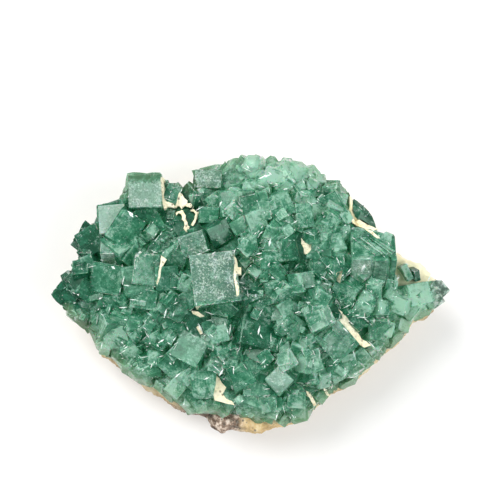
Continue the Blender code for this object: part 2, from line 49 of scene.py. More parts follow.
# The camera: what it looks at, how steeply down, and from how far.
CAMERA_AIM = (-0.3, 8.3, 12.0)
CAMERA_ELEVATION = 85.0
CAMERA_DISTANCE = 290.0
SEEN_TRUE_AT = 12.0

# Lamps: place in metres, width, power and colour. They all point at the middle of the specimen.
LAMPS = (
    ("window", (-0.70, 0.60, 0.95), 1.10, 16.5, (1.0, 0.985, 0.96)),
    ("room", (0.80, -0.25, 0.78), 0.80, 7.5, (1, 1, 1)),
)
LAMP_AIM = (0, 0, 0.01)

# Brightness of the room by height above the horizon, darker straight overhead where the camera is held.
WORLD_LEVELS = ((0.0, 0.45), (0.35, 0.60), (0.80, 0.60), (0.93, 0.40), (1.0, 0.35))

# A height over everything, where cutters end and drops onto a surface start.
CUT_TOP = 40.0
DROP_FROM = 50.0

# The rim of the crust seen from above, anticlockwise from the right tip, as in the solids.
RIM = (
    (37.6, 0.5), (36.4, 2.3), (34.1, 4.6), (32.7, 5.9), (29.7, 6.8), (28.0, 8.3), (26.1, 10.6), (23.8, 12.3),
    (23.2, 14.0), (21.9, 16.3), (19.8, 18.3), (18.3, 19.9), (16.8, 21.5), (15.1, 21.4), (13.9, 22.5),
    (12.6, 22.4), (9.9, 25.0), (8.6, 25.9), (3.8, 25.6), (1.2, 26.7), (-1.8, 26.1), (-2.4, 25.2),
    (-4.7, 25.1), (-5.4, 24.1), (-9.8, 24.0), (-11.3, 23.2), (-10.1, 19.9), (-11.6, 20.8), (-13.3, 19.5),
    (-13.6, 20.5),
    (-16.6, 22.1), (-17.4, 23.0), (-23.5, 22.6), (-23.6, 20.0), (-24.8, 17.8), (-29.2, 16.9), (-29.3, 13.8),
    (-31.6, 14.0), (-34.3, 9.1), (-33.3, 5.7), (-36.0, 3.8), (-37.6, 0.5), (-35.8, -2.5), (-34.0, -5.2),
    (-31.0, -7.2), (-29.8, -10.1), (-26.0, -13.1), (-22.4, -16.3), (-18.9, -18.0), (-15.0, -20.8),
    (-11.5, -23.1), (-8.2, -22.8), (-3.0, -23.6), (3.0, -24.6), (8.4, -24.6), (9.9, -24.1), (13.3, -20.8),
    (14.9, -19.1), (19.4, -17.0), (22.8, -14.0), (26.3, -10.3), (28.4, -8.5), (30.4, -5.6), (33.3, -4.0),
    (36.9, -0.9),
)
BED_RINGS = ((0.955, 7.4), (0.965, 10.8), (0.91, 13.0), (0.60, 17.2))
BED_PEAK = 19.6
BED_TOP_FROM = 2

BARE_GROUND = (
    ((26.7, 9.8), (26.6, 6.8), (27.3, 1.2), (30.4, 1.7), (34.2, 2.4), (36.4, 2.6), (40.0, 4.0), (36.0, 12.0)),
    ((18.8, 22.0), (18.7, 15.8), (19.3, 14.2), (20.8, 12.7), (22.6, 11.7), (24.6, 11.0), (28.0, 13.0),
     (26.0, 20.0)),
)

# Cream clay between crystals: the outline of each seam, and how far its top lies below the crystals.
SEAMS = (
    (((-17.3, 22.0), (-16.8, 21.9), (-16.4, 18.8), (-16.1, 17.3), (-14.4, 17.1), (-14.6, 16.4), (-16.8, 16.3),
      (-17.1, 18.6)), 0.1),
    (((-14.0, 19.4), (-13.2, 18.6), (-12.5, 17.6), (-11.3, 17.1), (-11.5, 16.4), (-12.7, 16.7), (-13.4, 16.4),
      (-14.6, 16.6), (-14.4, 17.9)), 0.0),
    (((-14.0, 16.3), (-12.9, 16.0), (-12.1, 14.4), (-11.7, 13.0), (-12.3, 11.7), (-13.1, 11.3), (-13.5, 12.1),
      (-12.9, 12.9), (-13.3, 14.8), (-14.0, 15.6)), 0.0),
    (((18.5, 18.9), (19.2, 18.3), (19.3, 15.5), (20.6, 14.1), (22.4, 12.9), (23.9, 12.2), (23.9, 11.5),
      (22.5, 11.8), (20.7, 12.8), (19.2, 14.3), (18.7, 15.8)), 0.0),
    (((9.4, 10.8), (10.9, 10.0), (11.4, 8.9), (10.7, 7.2), (9.9, 7.6), (10.1, 8.9), (9.4, 9.6)), 0.1),
    (((16.6, -2.9), (18.5, -5.6), (20.8, -7.6), (22.5, -9.7), (21.1, -10.3), (18.7, -7.1),
      (16.6, -5.0)), 0.1),
    (((-6.6, -14.3), (-6.2, -16.4), (-4.9, -17.3), (-4.9, -18.7), (-3.0, -21.1), (-7.2, -20.2),
      (-7.2, -17.9)), 0.2),
    (((9.7, -18.3), (11.4, -18.3), (13.0, -21.1), (11.0, -20.2)), 0.2),
    (((16.0, 3.9), (17.3, 4.5), (16.8, 2.0), (16.0, 2.6)), 0.2),
    (((-16.9, 7.5), (-15.9, 6.8), (-16.5, 5.8), (-17.2, 4.5), (-17.8, 1.9), (-18.1, 2.0), (-17.7, 4.9),
      (-17.2, 6.0)), 0.1),
    (((13.3, -17.5), (14.9, -19.4), (14.1, -19.8), (12.8, -17.9)), 0.2),
    (((-10.6, 15.7), (-10.0, 15.5), (-10.2, 14.6), (-11.2, 13.1), (-11.7, 13.3), (-11.0, 14.4)), 0.1),
    (((-11.5, -3.1), (-10.2, -3.3), (-8.9, -4.2), (-9.8, -4.4), (-11.2, -3.7)), 0.1),
    (((-10.2, -5.9), (-9.3, -7.5), (-9.8, -7.6), (-10.6, -6.3)), 0.1),
    (((-3.4, 7.3), (-2.8, 6.4), (-2.6, 5.0), (-2.0, 4.9), (-2.0, 3.6), (-2.8, 3.6), (-3.0, 2.6), (-2.4, 1.1),
      (-2.4, -0.4), (-2.8, -0.8), (-3.0, 0.7), (-3.4, 3.0), (-3.2, 6.0)), -0.1),
)
# The larger seams in more detail: what shows of them is thin, jagged shards.
SHARDS = (
    (((-17.22, 21.42), (-17.07, 19.71), (-16.88, 17.05), (-16.69, 16.12), (-16.43, 16.14), (-16.10, 16.71),
      (-15.44, 16.62), (-14.77, 16.46), (-14.66, 16.82), (-15.42, 17.01), (-15.99, 17.36), (-16.44, 17.93),
      (-16.75, 18.38), (-16.77, 19.41), (-16.33, 19.60), (-16.60, 20.47), (-16.82, 21.42), (-16.52, 21.52),
      (-16.62, 21.99), (-17.17, 21.99)), -1.2),
    (((-13.94, 18.76), (-14.16, 18.00), (-14.35, 17.24), (-14.68, 16.73), (-14.54, 16.48), (-14.11, 16.90),
      (-13.73, 16.79), (-13.44, 16.33), (-13.06, 16.67), (-12.78, 16.90), (-12.30, 16.69), (-11.73, 16.50),
      (-11.35, 16.62), (-11.35, 16.96), (-11.62, 17.24), (-11.73, 16.98), (-12.00, 16.86), (-12.26, 17.20),
      (-12.55, 17.58), (-12.93, 17.43), (-13.35, 17.20), (-13.78, 17.32), (-13.84, 17.81), (-13.71, 18.33),
      (-13.44, 18.52), (-13.06, 18.04), (-12.72, 17.77), (-12.21, 17.76), (-12.80, 18.27), (-13.18, 18.88),
      (-13.63, 19.28)), -0.7),
    (((-14.20, 15.76), (-14.47, 15.49), (-14.43, 15.10), (-14.01, 15.49), (-13.52, 15.34), (-13.31, 14.96),
      (-13.21, 14.20), (-12.95, 13.94), (-12.82, 13.25), (-13.02, 12.68), (-12.76, 12.11), (-12.30, 11.73),
      (-12.11, 11.90), (-12.49, 12.30), (-12.61, 12.61), (-12.30, 12.80), (-11.85, 12.95), (-12.19, 13.18),
      (-12.30, 13.82), (-12.64, 14.39), (-12.61, 15.15), (-12.99, 15.63), (-13.10, 15.99), (-13.37, 16.10),
      (-13.67, 15.95)), -0.5),
    (((-11.64, 15.89), (-11.01, 15.72), (-10.52, 15.04), (-10.97, 14.16), (-11.35, 13.48), (-11.16, 13.18),
      (-10.74, 13.86), (-10.29, 14.77), (-10.25, 15.34), (-10.97, 16.16), (-11.68, 16.05)), -0.4),
    (((18.9, 17.9), (18.8, 17.4), (18.6, 16.6), (19.0, 15.3), (19.6, 14.5), (19.9, 14.6), (19.4, 15.5),
      (19.1, 16.3), (19.2, 17.2), (19.4, 18.0), (19.0, 18.4), (18.6, 18.8)), -0.2),
    (((19.0, 13.8), (19.3, 13.4), (20.2, 12.9), (20.9, 12.5), (21.7, 12.2), (22.3, 12.2), (23.0, 12.0),
      (23.9, 12.1), (23.0, 12.8), (22.1, 13.3), (20.9, 13.9), (20.4, 14.2), (20.1, 13.9), (20.6, 13.3),
      (20.3, 13.2), (19.7, 13.7), (19.3, 14.3)), -0.2),
    (((21.7, 11.8), (22.4, 11.4), (22.9, 10.8), (23.6, 10.3), (24.3, 10.3), (23.4, 11.1), (22.8, 11.7),
      (22.1, 12.0), (21.3, 12.4)), -0.4),
    (((17.1, -3.7), (17.3, -4.6), (16.4, -4.9), (17.4, -6.1), (18.3, -6.9), (19.3, -8.3), (20.3, -9.5),
      (21.2, -10.2), (22.5, -9.8), (21.7, -9.1), (20.8, -8.5), (20.3, -7.6), (19.3, -6.6), (18.5, -5.7),
      (18.4, -4.9), (17.4, -3.4), (16.6, -2.9)), -0.1),
    (((-6.8, -17.2), (-7.2, -19.1), (-7.0, -20.1), (-5.1, -20.6), (-3.2, -21.0), (-3.7, -20.2), (-4.8, -19.8),
      (-5.4, -18.8), (-4.8, -17.7), (-5.6, -16.9), (-6.1, -15.9), (-6.6, -14.6)), 0.0),
    (((10.5, -19.0), (11.1, -20.0), (11.8, -21.2), (12.3, -21.0), (11.7, -19.7), (11.1, -18.7),
      (10.3, -18.3)), 0.0),
    (((13.8, -18.5), (14.3, -19.2), (14.8, -19.4), (14.4, -18.3), (13.5, -17.6)), 0.0),
    (((9.5, 9.7), (10.0, 8.7), (10.0, 7.8), (10.6, 7.5), (11.3, 8.4), (11.4, 9.5), (10.9, 9.4), (10.3, 9.9),
      (9.5, 10.8)), -0.2),
    (((-17.3, 5.9), (-17.6, 4.6), (-17.7, 3.3), (-18.1, 1.9), (-17.8, 1.7), (-17.3, 3.0), (-17.1, 4.6),
      (-16.6, 5.7), (-16.1, 6.5), (-17.2, 7.3)), 0.0),
)
SHARDS_REPLACE = (0, 1, 2, 3, 4, 5, 6, 7, 9, 10)
SEAM_SEEN = 2.5

# The shards stand on a foot in the matrix. Their sides are split in pieces, and shaken above the foot.
SEAM_FOOT = 10.0
SEAM_PIECE = 0.6
SEAM_SHAKE = 0.03
SEAM_WAVE = 0.3

# The matrix of the looks is cut down to a level beside its seams, apart from the one at the upper right rim.
SEAM_JOIN = 11.0
SEAM_REACH = 0.75
RIM_SEAM = 3
WELD = 0.001

# How far crystals reach into the clay that they stand in.
IN_CLAY = 0.45

# Crystals that show as themselves: centre x and y of the face, its width and height, its spin, how far it
# leans and towards which side, and how far its highest corner stands above the bed. Then the frost on its
# face, from 0 to 1 and whiter past 1, and its tone, from 0, a deep green, to 1, a pale mint.
CRYSTALS = (
    (-7.0, 3.0, 8.4, 9.4, 7, 5, 110, 5.6, 1.00, 0.30),
    (-11.2, 9.4, 4.9, 4.2, 17, 12, 200, 3.8, 0.92, 0.51),
    (-20.3, 19.6, 6.4, 6.5, 2, 9, 90, 5.2, 1.16, 0.16),
    (-26.6, 14.3, 5.0, 5.4, 4, 8, 130, 4.8, 1.30, 0.80),
    (-30.8, 10.1, 5.2, 5.2, 28, 26, 200, 3.6, 0.15, 0.10),
    (-25.0, 10.6, 5.6, 5.6, 45, 32, 100, 4.4, 0.20, 0.34),
    (-19.9, 4.7, 4.8, 6.0, -7, 12, 0, 3.6, 0.60, 0.40),
    (-25.8, 6.5, 5.6, 5.0, 3, 62, 270, 2.9, 1.15, 0.81),
    (-23.3, 17.2, 4.2, 4.2, 35, 22, 270, 3.0, 0.10, 0.36),
    (-20.3, 13.4, 6.2, 6.0, 30, 14, 290, 2.9, 0.10, 0.56),
    (-31.9, 4.5, 5.0, 5.0, 20, 24, 180, 2.9, 0.05, 0.31),
    (-20.6, -1.0, 5.0, 3.8, -8, 20, 230, 3.2, 0.35, 0.46),
    (-16.0, 2.9, 4.4, 4.6, 4, 10, 330, 3.0, 0.10, 0.46),
    (-14.6, -2.4, 4.8, 4.6, -33, 22, 300, 2.8, 0.40, 0.56),
    (-11.6, -0.8, 3.8, 3.6, 40, 22, 240, 2.9, 0.35, 0.51),
    (2.0, -6.3, 8.0, 7.6, -12, 30, 20, 4.0, 0.05, 0.14),
    (-11.8, -10.3, 5.6, 5.4, -28, 16, 120, 3.4, 0.10, 0.41),
    (-8.9, -16.4, 5.0, 6.6, 2, 12, 180, 3.0, 0.25, 0.46),
    (-14.8, -13.6, 4.6, 4.6, 42, 16, 250, 3.3, 0.35, 0.51),
    (-25.9, -8.4, 5.0, 4.2, 12, 26, 250, 3.0, 0.45, 0.81),
    (-19.4, -13.9, 4.3, 4.0, 5, 15, 240, 2.8, 0.20, 0.46),
    (-11.9, -20.0, 4.6, 4.4, 40, 14, 240, 2.4, 0.10, 0.41),
    (-1.9, -15.4, 4.2, 4.4, 24, 12, 80, 3.2, 0.25, 0.51),
    (5.2, -16.2, 3.7, 3.9, 44, 8, 90, 3.7, 1.10, 0.86),
    (6.6, -12.5, 3.4, 3.4, 30, 10, 60, 3.3, 0.50, 0.76),
    (16.2, -9.0, 5.6, 6.4, 40, 9, 270, 3.7, 0.70, 0.61),
    (12.6, -4.0, 5.0, 5.0, 24, 14, 130, 3.5, 0.60, 0.56),
    (8.3, 2.0, 2.8, 3.6, 6, 18, 200, 3.3, 0.35, 0.61),
    (10.8, 2.7, 2.2, 3.0, 10, 10, 30, 3.0, 0.70, 0.66),
    (6.8, 9.0, 4.4, 5.2, 8, 24, 20, 3.3, 0.20, 0.31),
    (15.6, 9.6, 4.0, 3.8, 20, 20, 110, 3.2, 0.40, 0.61),
    (23.2, 3.8, 8.4, 8.4, -2, 49, 270, 5.4, 0.70, 0.60),
    (16.4, 17.8, 3.4, 3.6, -18, 14, 60, 3.0, 0.60, 0.86),
    (18.2, 14.6, 2.0, 2.4, 30, 16, 60, 2.7, 0.30, 0.91),
    (0.8, 16.3, 5.2, 5.4, 14, 10, 250, 3.2, 0.50, 0.61),
    (5.4, 16.7, 4.8, 4.6, 24, 14, 300, 2.9, 0.40, 0.61),
    (-0.6, 9.0, 3.4, 3.6, 12, 10, 270, 3.2, 0.45, 0.66),
    (-8.2, 14.9, 3.8, 3.0, -3, 12, 270, 3.2, 0.15, 0.46),
    (-6.0, 11.5, 4.2, 4.2, 28, 26, 320, 3.2, 0.10, 0.15),
    (-8.3, 22.0, 5.0, 3.6, -2, 14, 90, 4.0, 1.00, 0.30),
    (-15.1, 19.2, 2.8, 3.6, -20, 14, 90, 3.3, 0.10, 0.36),
    (-11.6, 18.4, 2.8, 3.2, 42, 18, 90, 2.9, 0.20, 0.10),
    (10.2, 15.0, 3.2, 4.6, 8, 20, 30, 3.2, 0.45, 0.61),
    (32.0, 0.1, 4.6, 4.2, 14, 20, 20, 2.7, 0.45, 0.92),
    (29.8, -2.4, 4.0, 4.0, 50, 22, 200, 2.6, 0.35, 0.95),
    (34.6, -1.2, 3.2, 3.2, 38, 20, 300, 1.6, 0.55, 1.00),
    (-27.6, 2.9, 6.2, 5.6, -10, 16, 200, 3.0, 0.10, 0.40),
    (-33.6, 1.6, 4.6, 5.0, 42, 18, 180, 2.4, 0.05, 0.15),
    (24.2, -6.8, 4.2, 4.0, 5, 12, 250, 3.2, 0.50, 0.56),
    (20.3, -4.6, 3.6, 3.6, -42, 18, 30, 3.0, 0.20, 0.20),
    (16.5, -14.8, 3.6, 3.6, 32, 12, 310, 2.6, 0.35, 0.51),
    (20.4, -12.6, 4.2, 3.6, 38, 12, 300, 2.6, 0.30, 0.46),
    (8.2, -20.6, 4.6, 4.4, -30, 12, 280, 2.4, 0.25, 0.51),
    (3.0, -20.8, 3.4, 3.2, 4, 14, 270, 2.4, 0.45, 0.71),
    (11.2, -13.0, 4.2, 4.2, 18, 14, 330, 3.2, 0.30, 0.56),
)

# The big block at the right is one of these. Ridges on its upper side: the place across and down from its
# edge, the length, the width and how far each one rises.
BLOCK = 31
BLOCK_RIDGES = (
    (-1.6, 3.0, 5.4, 0.50, 0.22), (-0.6, 3.2, 6.0, 0.40, 0.34), (0.3, 3.4, 6.0, 0.60, 0.20),
    (1.3, 3.2, 5.6, 0.40, 0.38), (2.2, 3.5, 4.4, 0.50, 0.26),
)
BLOCK_SLANT = 42

# Steps on its front: the place on it, the width and height, how far each rises, its frost and its tone.
BLOCK_STEPS = (
    (-2.3, 0.3, 3.6, 7.4, 0.10, 1.10, 0.75), (1.3, 0.2, 2.8, 7.6, 0.18, 0.75, 0.35),
    (3.6, 0.0, 1.0, 8.3, 0.24, 0.10, 0.30),
)

# Frost that leaves a strip of its face clean: the crystal's number, the way on the face towards that strip,
# and where on that way the frost thins out.
FADES = ((0, 270, 3.9, 4.6), (2, 90, 1.4, 2.8))

# Crystals that only the looks have, as above with how worn they are: pale knobs along the upper rim, and one
# that covers a corner of the frosted crystal at the upper left.
EXTRAS = (
    (0.4, 25.3, 4.6, 2.8, -6, 10, 90, 2.8, 0.30, 1.00, 0.30),
    (8.0, 24.3, 5.2, 3.4, -12, 14, 80, 2.8, 0.30, 1.00, 0.30),
    (12.6, 22.2, 3.2, 2.8, 30, 16, 60, 2.4, 0.50, 0.80, 0.25),
    (-24.1, 12.3, 5.4, 6.4, -34, 16, 250, 5.3, 0.10, 0.42, 0.0),
)

# Bright broken edges that stand out, which also stand in as painted glints: place, the way each one runs, its
# length and width.
GLINTS_AND_BREAKS = (
    (-22.7, 14.7, -50, 1.5, 0.61), (-26.2, 4.9, -30, 1.1, 0.61), (-24.3, 2.4, 60, 1.5, 0.30),
    (-23.5, 1.5, -10, 1.1, 0.30), (-0.7, 24.1, -60, 0.9, 0.30), (2.7, 22.4, 20, 2.3, 0.46),
    (3.5, 22.9, -40, 1.1, 0.30), (1.9, 11.7, 10, 1.7, 0.46), (3.4, 9.5, 75, 1.5, 0.46),
    (-5.8, 17.1, 70, 1.1, 0.30), (-16.3, -3.5, 80, 1.9, 0.38), (-15.9, -4.4, -30, 1.1, 0.30),
    (-9.8, -6.3, -65, 2.1, 0.46), (-7.4, -8.1, -50, 1.5, 0.30), (-17.0, -8.9, 30, 1.3, 0.38),
    (-17.0, -11.8, 0, 1.7, 0.30), (-13.8, -15.3, 40, 1.7, 0.30), (-19.8, -7.8, -35, 1.7, 0.23),
    (-4.1, -6.9, 75, 1.9, 0.30), (-3.8, -8.4, 85, 1.5, 0.30), (-8.5, -16.0, 20, 1.5, 0.30),
    (17.7, -6.9, -45, 1.7, 0.30), (22.8, -9.7, -50, 1.9, 0.30), (21.1, 4.9, 78, 1.9, 0.61),
    (16.4, 6.2, 60, 1.5, 0.30), (1.4, -6.9, 70, 2.3, 0.46), (1.8, -8.0, -60, 1.3, 0.30),
    (9.2, -3.5, 30, 1.1, 0.30), (11.1, 11.7, -60, 1.3, 0.23), (-5.7, -14.9, 60, 1.3, 0.30),
)

# Crystals whose corner is a corner of the rim: that corner, the way it points, and the crystal's size.
RIM_CRYSTALS = (
    (37.6, 0.4, -5, 3.4), (33.6, -3.8, -50, 3.2), (29.8, -6.2, -40, 3.6), (26.6, -10.0, -45, 3.8),
    (22.8, -14.1, -35, 3.4), (19.4, -17.0, -55, 3.6), (13.2, -20.9, -45, 3.4), (9.8, -24.1, -60, 3.6),
    (6.0, -24.6, -92, 3.0), (-11.4, -23.2, 255, 4.6), (-15.6, -20.4, 225, 3.8), (-19.2, -18.0, 235, 3.6),
    (-22.6, -16.2, 230, 3.6), (-26.4, -12.8, 230, 3.4), (-29.9, -10.0, 205, 4.2), (-32.0, -6.4, 225, 3.0),
    (-35.8, -3.0, 205, 3.6), (-37.6, 0.5, 178, 5.2), (-34.4, 9.1, 190, 4.6), (-31.6, 14.0, 95, 4.4),
    (-29.4, 17.0, 135, 4.2), (-25.0, 17.9, 60, 2.8), (-23.6, 22.7, 135, 5.0), (-17.2, 23.0, 45, 4.6),
    (-15.8, 21.7, 50, 2.4), (-13.5, 20.5, 55, 2.4), (-11.4, 23.4, 140, 3.6), (-5.2, 24.2, 50, 3.0),
    (-4.8, 25.2, 135, 2.6), (-1.8, 26.3, 130, 2.6), (1.3, 26.8, 72, 3.0), (3.8, 25.7, 100, 2.8),
    (8.7, 26.0, 80, 3.6), (11.0, 23.8, 40, 2.6), (13.9, 22.6, 60, 2.8), (16.9, 21.5, 45, 3.2),
)
RIM_CRYSTAL_TOP = 13.4
RIM_CRYSTAL_DEPTH = 1.15

# The broken side that everything is trimmed to: rings as a share of the rim with their heights, its facets,
# how far they wave, and how the lower side slopes back above a height.
TRIM_RINGS = ((0.95, 5.0), (0.985, 9.0), (1.0, 11.5), (1.01, 14.0), (1.005, 17.0), (0.97, 22.0), (0.95, 26.0))
TRIM_FACET = 1.3
TRIM_WAVE = 0.7
TRIM_SLOPE = 0.9
TRIM_SLOPE_FROM = 12.5

# The seeded crystals between them, as in the solids.
FILL_SEED = 11
FILL_SPACING = 3.4
FILL_SIZES = (3.2, 7.0)
FILL_LEAN_COSINE = 0.62
FILL_RISE = (1.0, 1.9)
FILL_RISE_BY_SIZE = 0.16
FILL_SWELL = 0.9
FILL_SHARE = 0.96
FILL_INSIDE_RIM = 0.46
FILL_CLEAR_OF_CRYSTAL = 0.42

# Where crystals are paler than usual, or darker: how much, the middle and how wide that is across and along.
PALE_USUAL = 0.45
PALE_AREAS = (
    (0.85, 33, -1, 60, 60), (0.56, 5, 23, 140, 40), (0.14, -1, 13, 120, 40), (0.20, -12, -15, 300, 60),
    (0.16, 20, -11, 120, 60), (-0.42, -34, 5, 90, 90), (-0.18, -1, -5, 40, 40),
)

# The dark crystal beyond the seam: its outline with the height of each point, its peak, and the cracks on it
# with their places, ways, lengths and widths.
EDGE_OUTLINE = (
    (19.5, 18.2), (20.1, 17.8), (20.8, 17.2), (21.5, 16.6), (22.3, 15.8), (23.0, 14.8), (23.6, 13.4),
    (23.9, 12.2), (23.0, 12.7), (22.1, 13.4), (20.9, 14.1), (20.1, 14.1), (19.6, 14.7), (19.3, 15.7),
    (19.2, 16.9), (19.3, 17.8),
)
EDGE_FOOT = 9.0
EDGE_TOPS = (13.8, 13.8, 13.9, 14.0, 13.9, 13.7, 13.3, 12.9, 13.7, 14.3, 14.9, 15.2, 15.3, 15.2, 14.9, 14.3)
EDGE_PEAK = (20.6, 15.4, 15.4)
EDGE_CRACK = ((21.2, 16.1, 38, 1.5, 0.10), (22.0, 15.0, 20, 1.1, 0.09), (20.5, 15.9, 75, 0.8, 0.08))
EDGE_SEEN = 1.5

# The two crystals in the clay of the tip: the middle of the face, the size, the spin, the lean and its side.
TIP_CRYSTAL = ((29.2, 3.8, 14.9), (1.4, 3.2, 4.4), 28, 8, 330)
TIP_WEDGE = ((31.2, 3.2, 14.3), (1.2, 2.2, 3.8), 14, 30, 320)

# Detail that the solids leave out: chamfers, chips, growth steps, twins and small crystals between the large.
DETAIL_SEED = 5
CHAMFER = (0.05, 0.14)
CHIP_SHARE = 0.20
CHIP = (0.10, 0.36)
STEP_RISE = (0.05, 0.22)
TWIN_SHARE = 0.25
SMALL_TRIES = 1700
SMALL_SIZES = (1.3, 3.6)
SIDE_TRIES = 420
SIDE_SIZES = (1.0, 2.4)

# How often a small crystal may sit on a named one, and high above the bed: the height and the chance.
SMALL_ON_NAMED = 0.04
SMALL_HIGH = ((3.0, 0.06), (1.9, 0.40))

# A place with few small crystals: its middle, its width and how many it loses there.
SMALL_SPARSE = (-26, -2, 200, 0.6)

# How much the tone drifts over a face, and how much paler it gets with each millimetre of height: painted
# shade that darkens the hollows between crystals and lightens their tops.
DRIFT = (0.05, 0.24)
PAINTED_HOLLOW_SHADE = 0.08

# Slivers where edges are broken, which also stand in as painted glints, with the frost that marks them, their
# widths and how deep they are.
GLINT_TRIES = 7000
GLINT_WIDTHS = (0.14, 0.32)
GLINT_HEIGHT = 0.30
BRIGHT = 2.0

# What a face of a crystal is, kept on the mesh so that the material can tell them apart.
FRONT = 5
CHAMFER_SIDE = 6
CUT_SIDE = 7


def outline_radius(angle):
    """Distance from the middle to the rim along a direction, in radians."""
    along = Vector((math.cos(angle), math.sin(angle)))
    farthest = 0.0
    for first, second in zip(RIM, RIM[1:] + RIM[:1]):
        start = Vector(first)
        edge = Vector(second) - start
        across = along.cross(edge)
        if abs(across) < 1e-9:
            continue
        reach = start.cross(edge) / across
        share = start.cross(along) / across
        if reach > 0 and -1e-9 <= share <= 1 + 1e-9:
            farthest = max(farthest, reach)
    return farthest


def rim_share(x, y):
    """How far out a place lies, from 0 in the middle to 1 at the rim."""
    return math.hypot(x, y) / outline_radius(math.atan2(y, x))


def bed_height(x, y):
    """Height of the bed's top at a place."""
    share = rim_share(x, y)
    rings = BED_RINGS[BED_TOP_FROM:] + ((0.0, BED_PEAK),)
    if share >= rings[0][0]:
        return rings[0][1]
    for (outer, low), (inner, high) in zip(rings, rings[1:]):
        if share >= inner:
            return low + (high - low) * (outer - share) / (outer - inner)
    return BED_PEAK


def seen_at(x, y, above):
    """Where a place seen in the photo lies, for what stands a height above the bed and so looks larger."""
    higher = bed_height(x, y) + above - SEEN_TRUE_AT
    share = 1 - higher / CAMERA_DISTANCE
    middle = CAMERA_AIM[1]
    return x * share, middle + (y - middle) * share - higher / math.tan(math.radians(CAMERA_ELEVATION))


def inside(x, y, outline):
    """Whether a place lies inside an outline."""
    found = False
    for (x1, y1), (x2, y2) in zip(outline, outline[1:] + outline[:1]):
        if (y1 > y) != (y2 > y) and x < (x2 - x1) * (y - y1) / (y2 - y1) + x1:
            found = not found
    return found


def on_bare_ground(x, y):
    return any(inside(x, y, outline) for outline in BARE_GROUND)


def from_seam(x, y):
    """Distance from a place to the nearest seam of clay, 0 inside one."""
    near = 99.0
    place = Vector((x, y))
    for outline, _ in PLACED_SEAMS:
        if inside(x, y, outline):
            return 0.0
        for first, second in zip(outline, outline[1:] + outline[:1]):
            start = Vector(first)
            along = Vector(second) - start
            step = max(0.0, min(1.0, (place - start).dot(along) / along.length_squared))
            near = min(near, (place - start - along * step).length)
    return near


def placed(seams):
    """Seams moved to where they lie, from where the photo shows them."""
    return [(tuple(seen_at(x, y, SEAM_SEEN) for x, y in outline), below) for outline, below in seams]


PLACED_SEAMS = placed(SEAMS)
PLACED_CRYSTALS = tuple((*seen_at(row[0], row[1], row[7]), *row[2:]) for row in CRYSTALS)
PLACED_CLAY = placed(SHARDS) + [seam for i, seam in enumerate(PLACED_SEAMS) if i not in SHARDS_REPLACE]
PLACED_EDGE = [seen_at(x, y, EDGE_SEEN) for x, y in EDGE_OUTLINE]


def clearance(x, y):
    """How near a place is to a named crystal or a seam, below 0 where it lies in one."""
    near = from_seam(x, y) - 0.8
    for a, b, width, height, *_ in PLACED_CRYSTALS:
        near = min(near, math.hypot(x - a, y - b) - max(width, height) * FILL_CLEAR_OF_CRYSTAL)
    return near


def turning(spin, lean, side):
    """The turn of a crystal: its spin about its own face, then its lean towards a side."""
    way = math.radians(side)
    axis = Vector((-math.sin(way), math.cos(way), 0.0))
    return Matrix.Rotation(math.radians(lean), 4, axis) @ Matrix.Rotation(math.radians(spin), 4, "Z")


class Crystal:
    """One box of a crystal: middle, size and turn, the frost of its front, its tone and its wear."""

    def __init__(self, middle, size, turn, frost, tone, worn=0.0):
        self.middle = middle
        self.size = size
        self.turn = turn
        self.frost = frost
        self.tone = tone
        self.worn = worn
        self.reach = Vector(size).length / 2


def on_bed(x, y, width, height, spin, lean, side, rise, frost, tone):
    """A crystal on the bed with its highest corner a given rise above it."""
    turn = turning(spin, lean, side)
    corners = [turn @ Vector((a * width / 2, b * height / 2, 0.0)) for a in (-1, 1) for b in (-1, 1)]
    above = max(corner.z for corner in corners)
    face = Vector((x, y, bed_height(x, y) + rise - above))
    depth = max(width, height) * 1.05
    return Crystal(face - turn @ Vector((0, 0, depth / 2)), (width, height, depth), turn, frost, tone)


def main_crystals():
    """The crystals of the solids: the named ones, those at the rim and the seeded ones between."""
    found = [on_bed(*row) for row in PLACED_CRYSTALS]
    look = random.Random(DETAIL_SEED + 1)
    dice = random.Random(FILL_SEED + 1)
    for x, y, way, size in RIM_CRYSTALS:
        inward = Vector((math.cos(math.radians(way)), math.sin(math.radians(way)))) * size / math.sqrt(2)
        face = Vector((x - inward.x, y - inward.y, RIM_CRYSTAL_TOP + dice.uniform(-0.8, 0.8)))
        turn = turning(way + 45 + dice.uniform(-6, 6), dice.uniform(2, 14), way + dice.uniform(-60, 60))
        depth = size * RIM_CRYSTAL_DEPTH
        middle = face - turn @ Vector((0, 0, depth / 2))
        found.append(Crystal(middle, (size, size, depth), turn, *fill_look(look, x, y), worn_at(x, y)))
    dice = random.Random(FILL_SEED)
    rows = int(54 / FILL_SPACING)
    columns = int(76 / FILL_SPACING)
    for row in range(-rows // 2, rows // 2 + 1):
        for column in range(-columns // 2, columns // 2 + 1):
            x = (column + 0.5 * (row % 2) + dice.uniform(-0.3, 0.3)) * FILL_SPACING
            y = (row + dice.uniform(-0.3, 0.3)) * FILL_SPACING * 0.9
            size = FILL_SIZES[0] + (FILL_SIZES[1] - FILL_SIZES[0]) * dice.random() ** 1.5
            spin = dice.uniform(0, 90)
            lean = math.degrees(math.acos(1 - (1 - FILL_LEAN_COSINE) * dice.random()))
            side = dice.uniform(0, 360)
            rise = size * FILL_RISE_BY_SIZE + dice.uniform(*FILL_RISE)
            rise += FILL_SWELL * noise.noise(Vector((x * 0.13, y * 0.13, 0.5)))
            to_rim = (1 / max(rim_share(x, y), 0.01) - 1) * math.hypot(x, y)
            size = max(FILL_SIZES[0] * 0.8, min(size, to_rim / FILL_INSIDE_RIM))
            if rim_share(x, y) > FILL_SHARE or clearance(x, y) < 0.0:
                continue
            if on_bare_ground(x, y):
                continue
            frost, tone = fill_look(look, x, y)
            found.append(on_bed(x, y, size, size * 1.03, spin, lean, side, rise, frost, tone))
            found[-1].worn = worn_at(x, y)
    return found


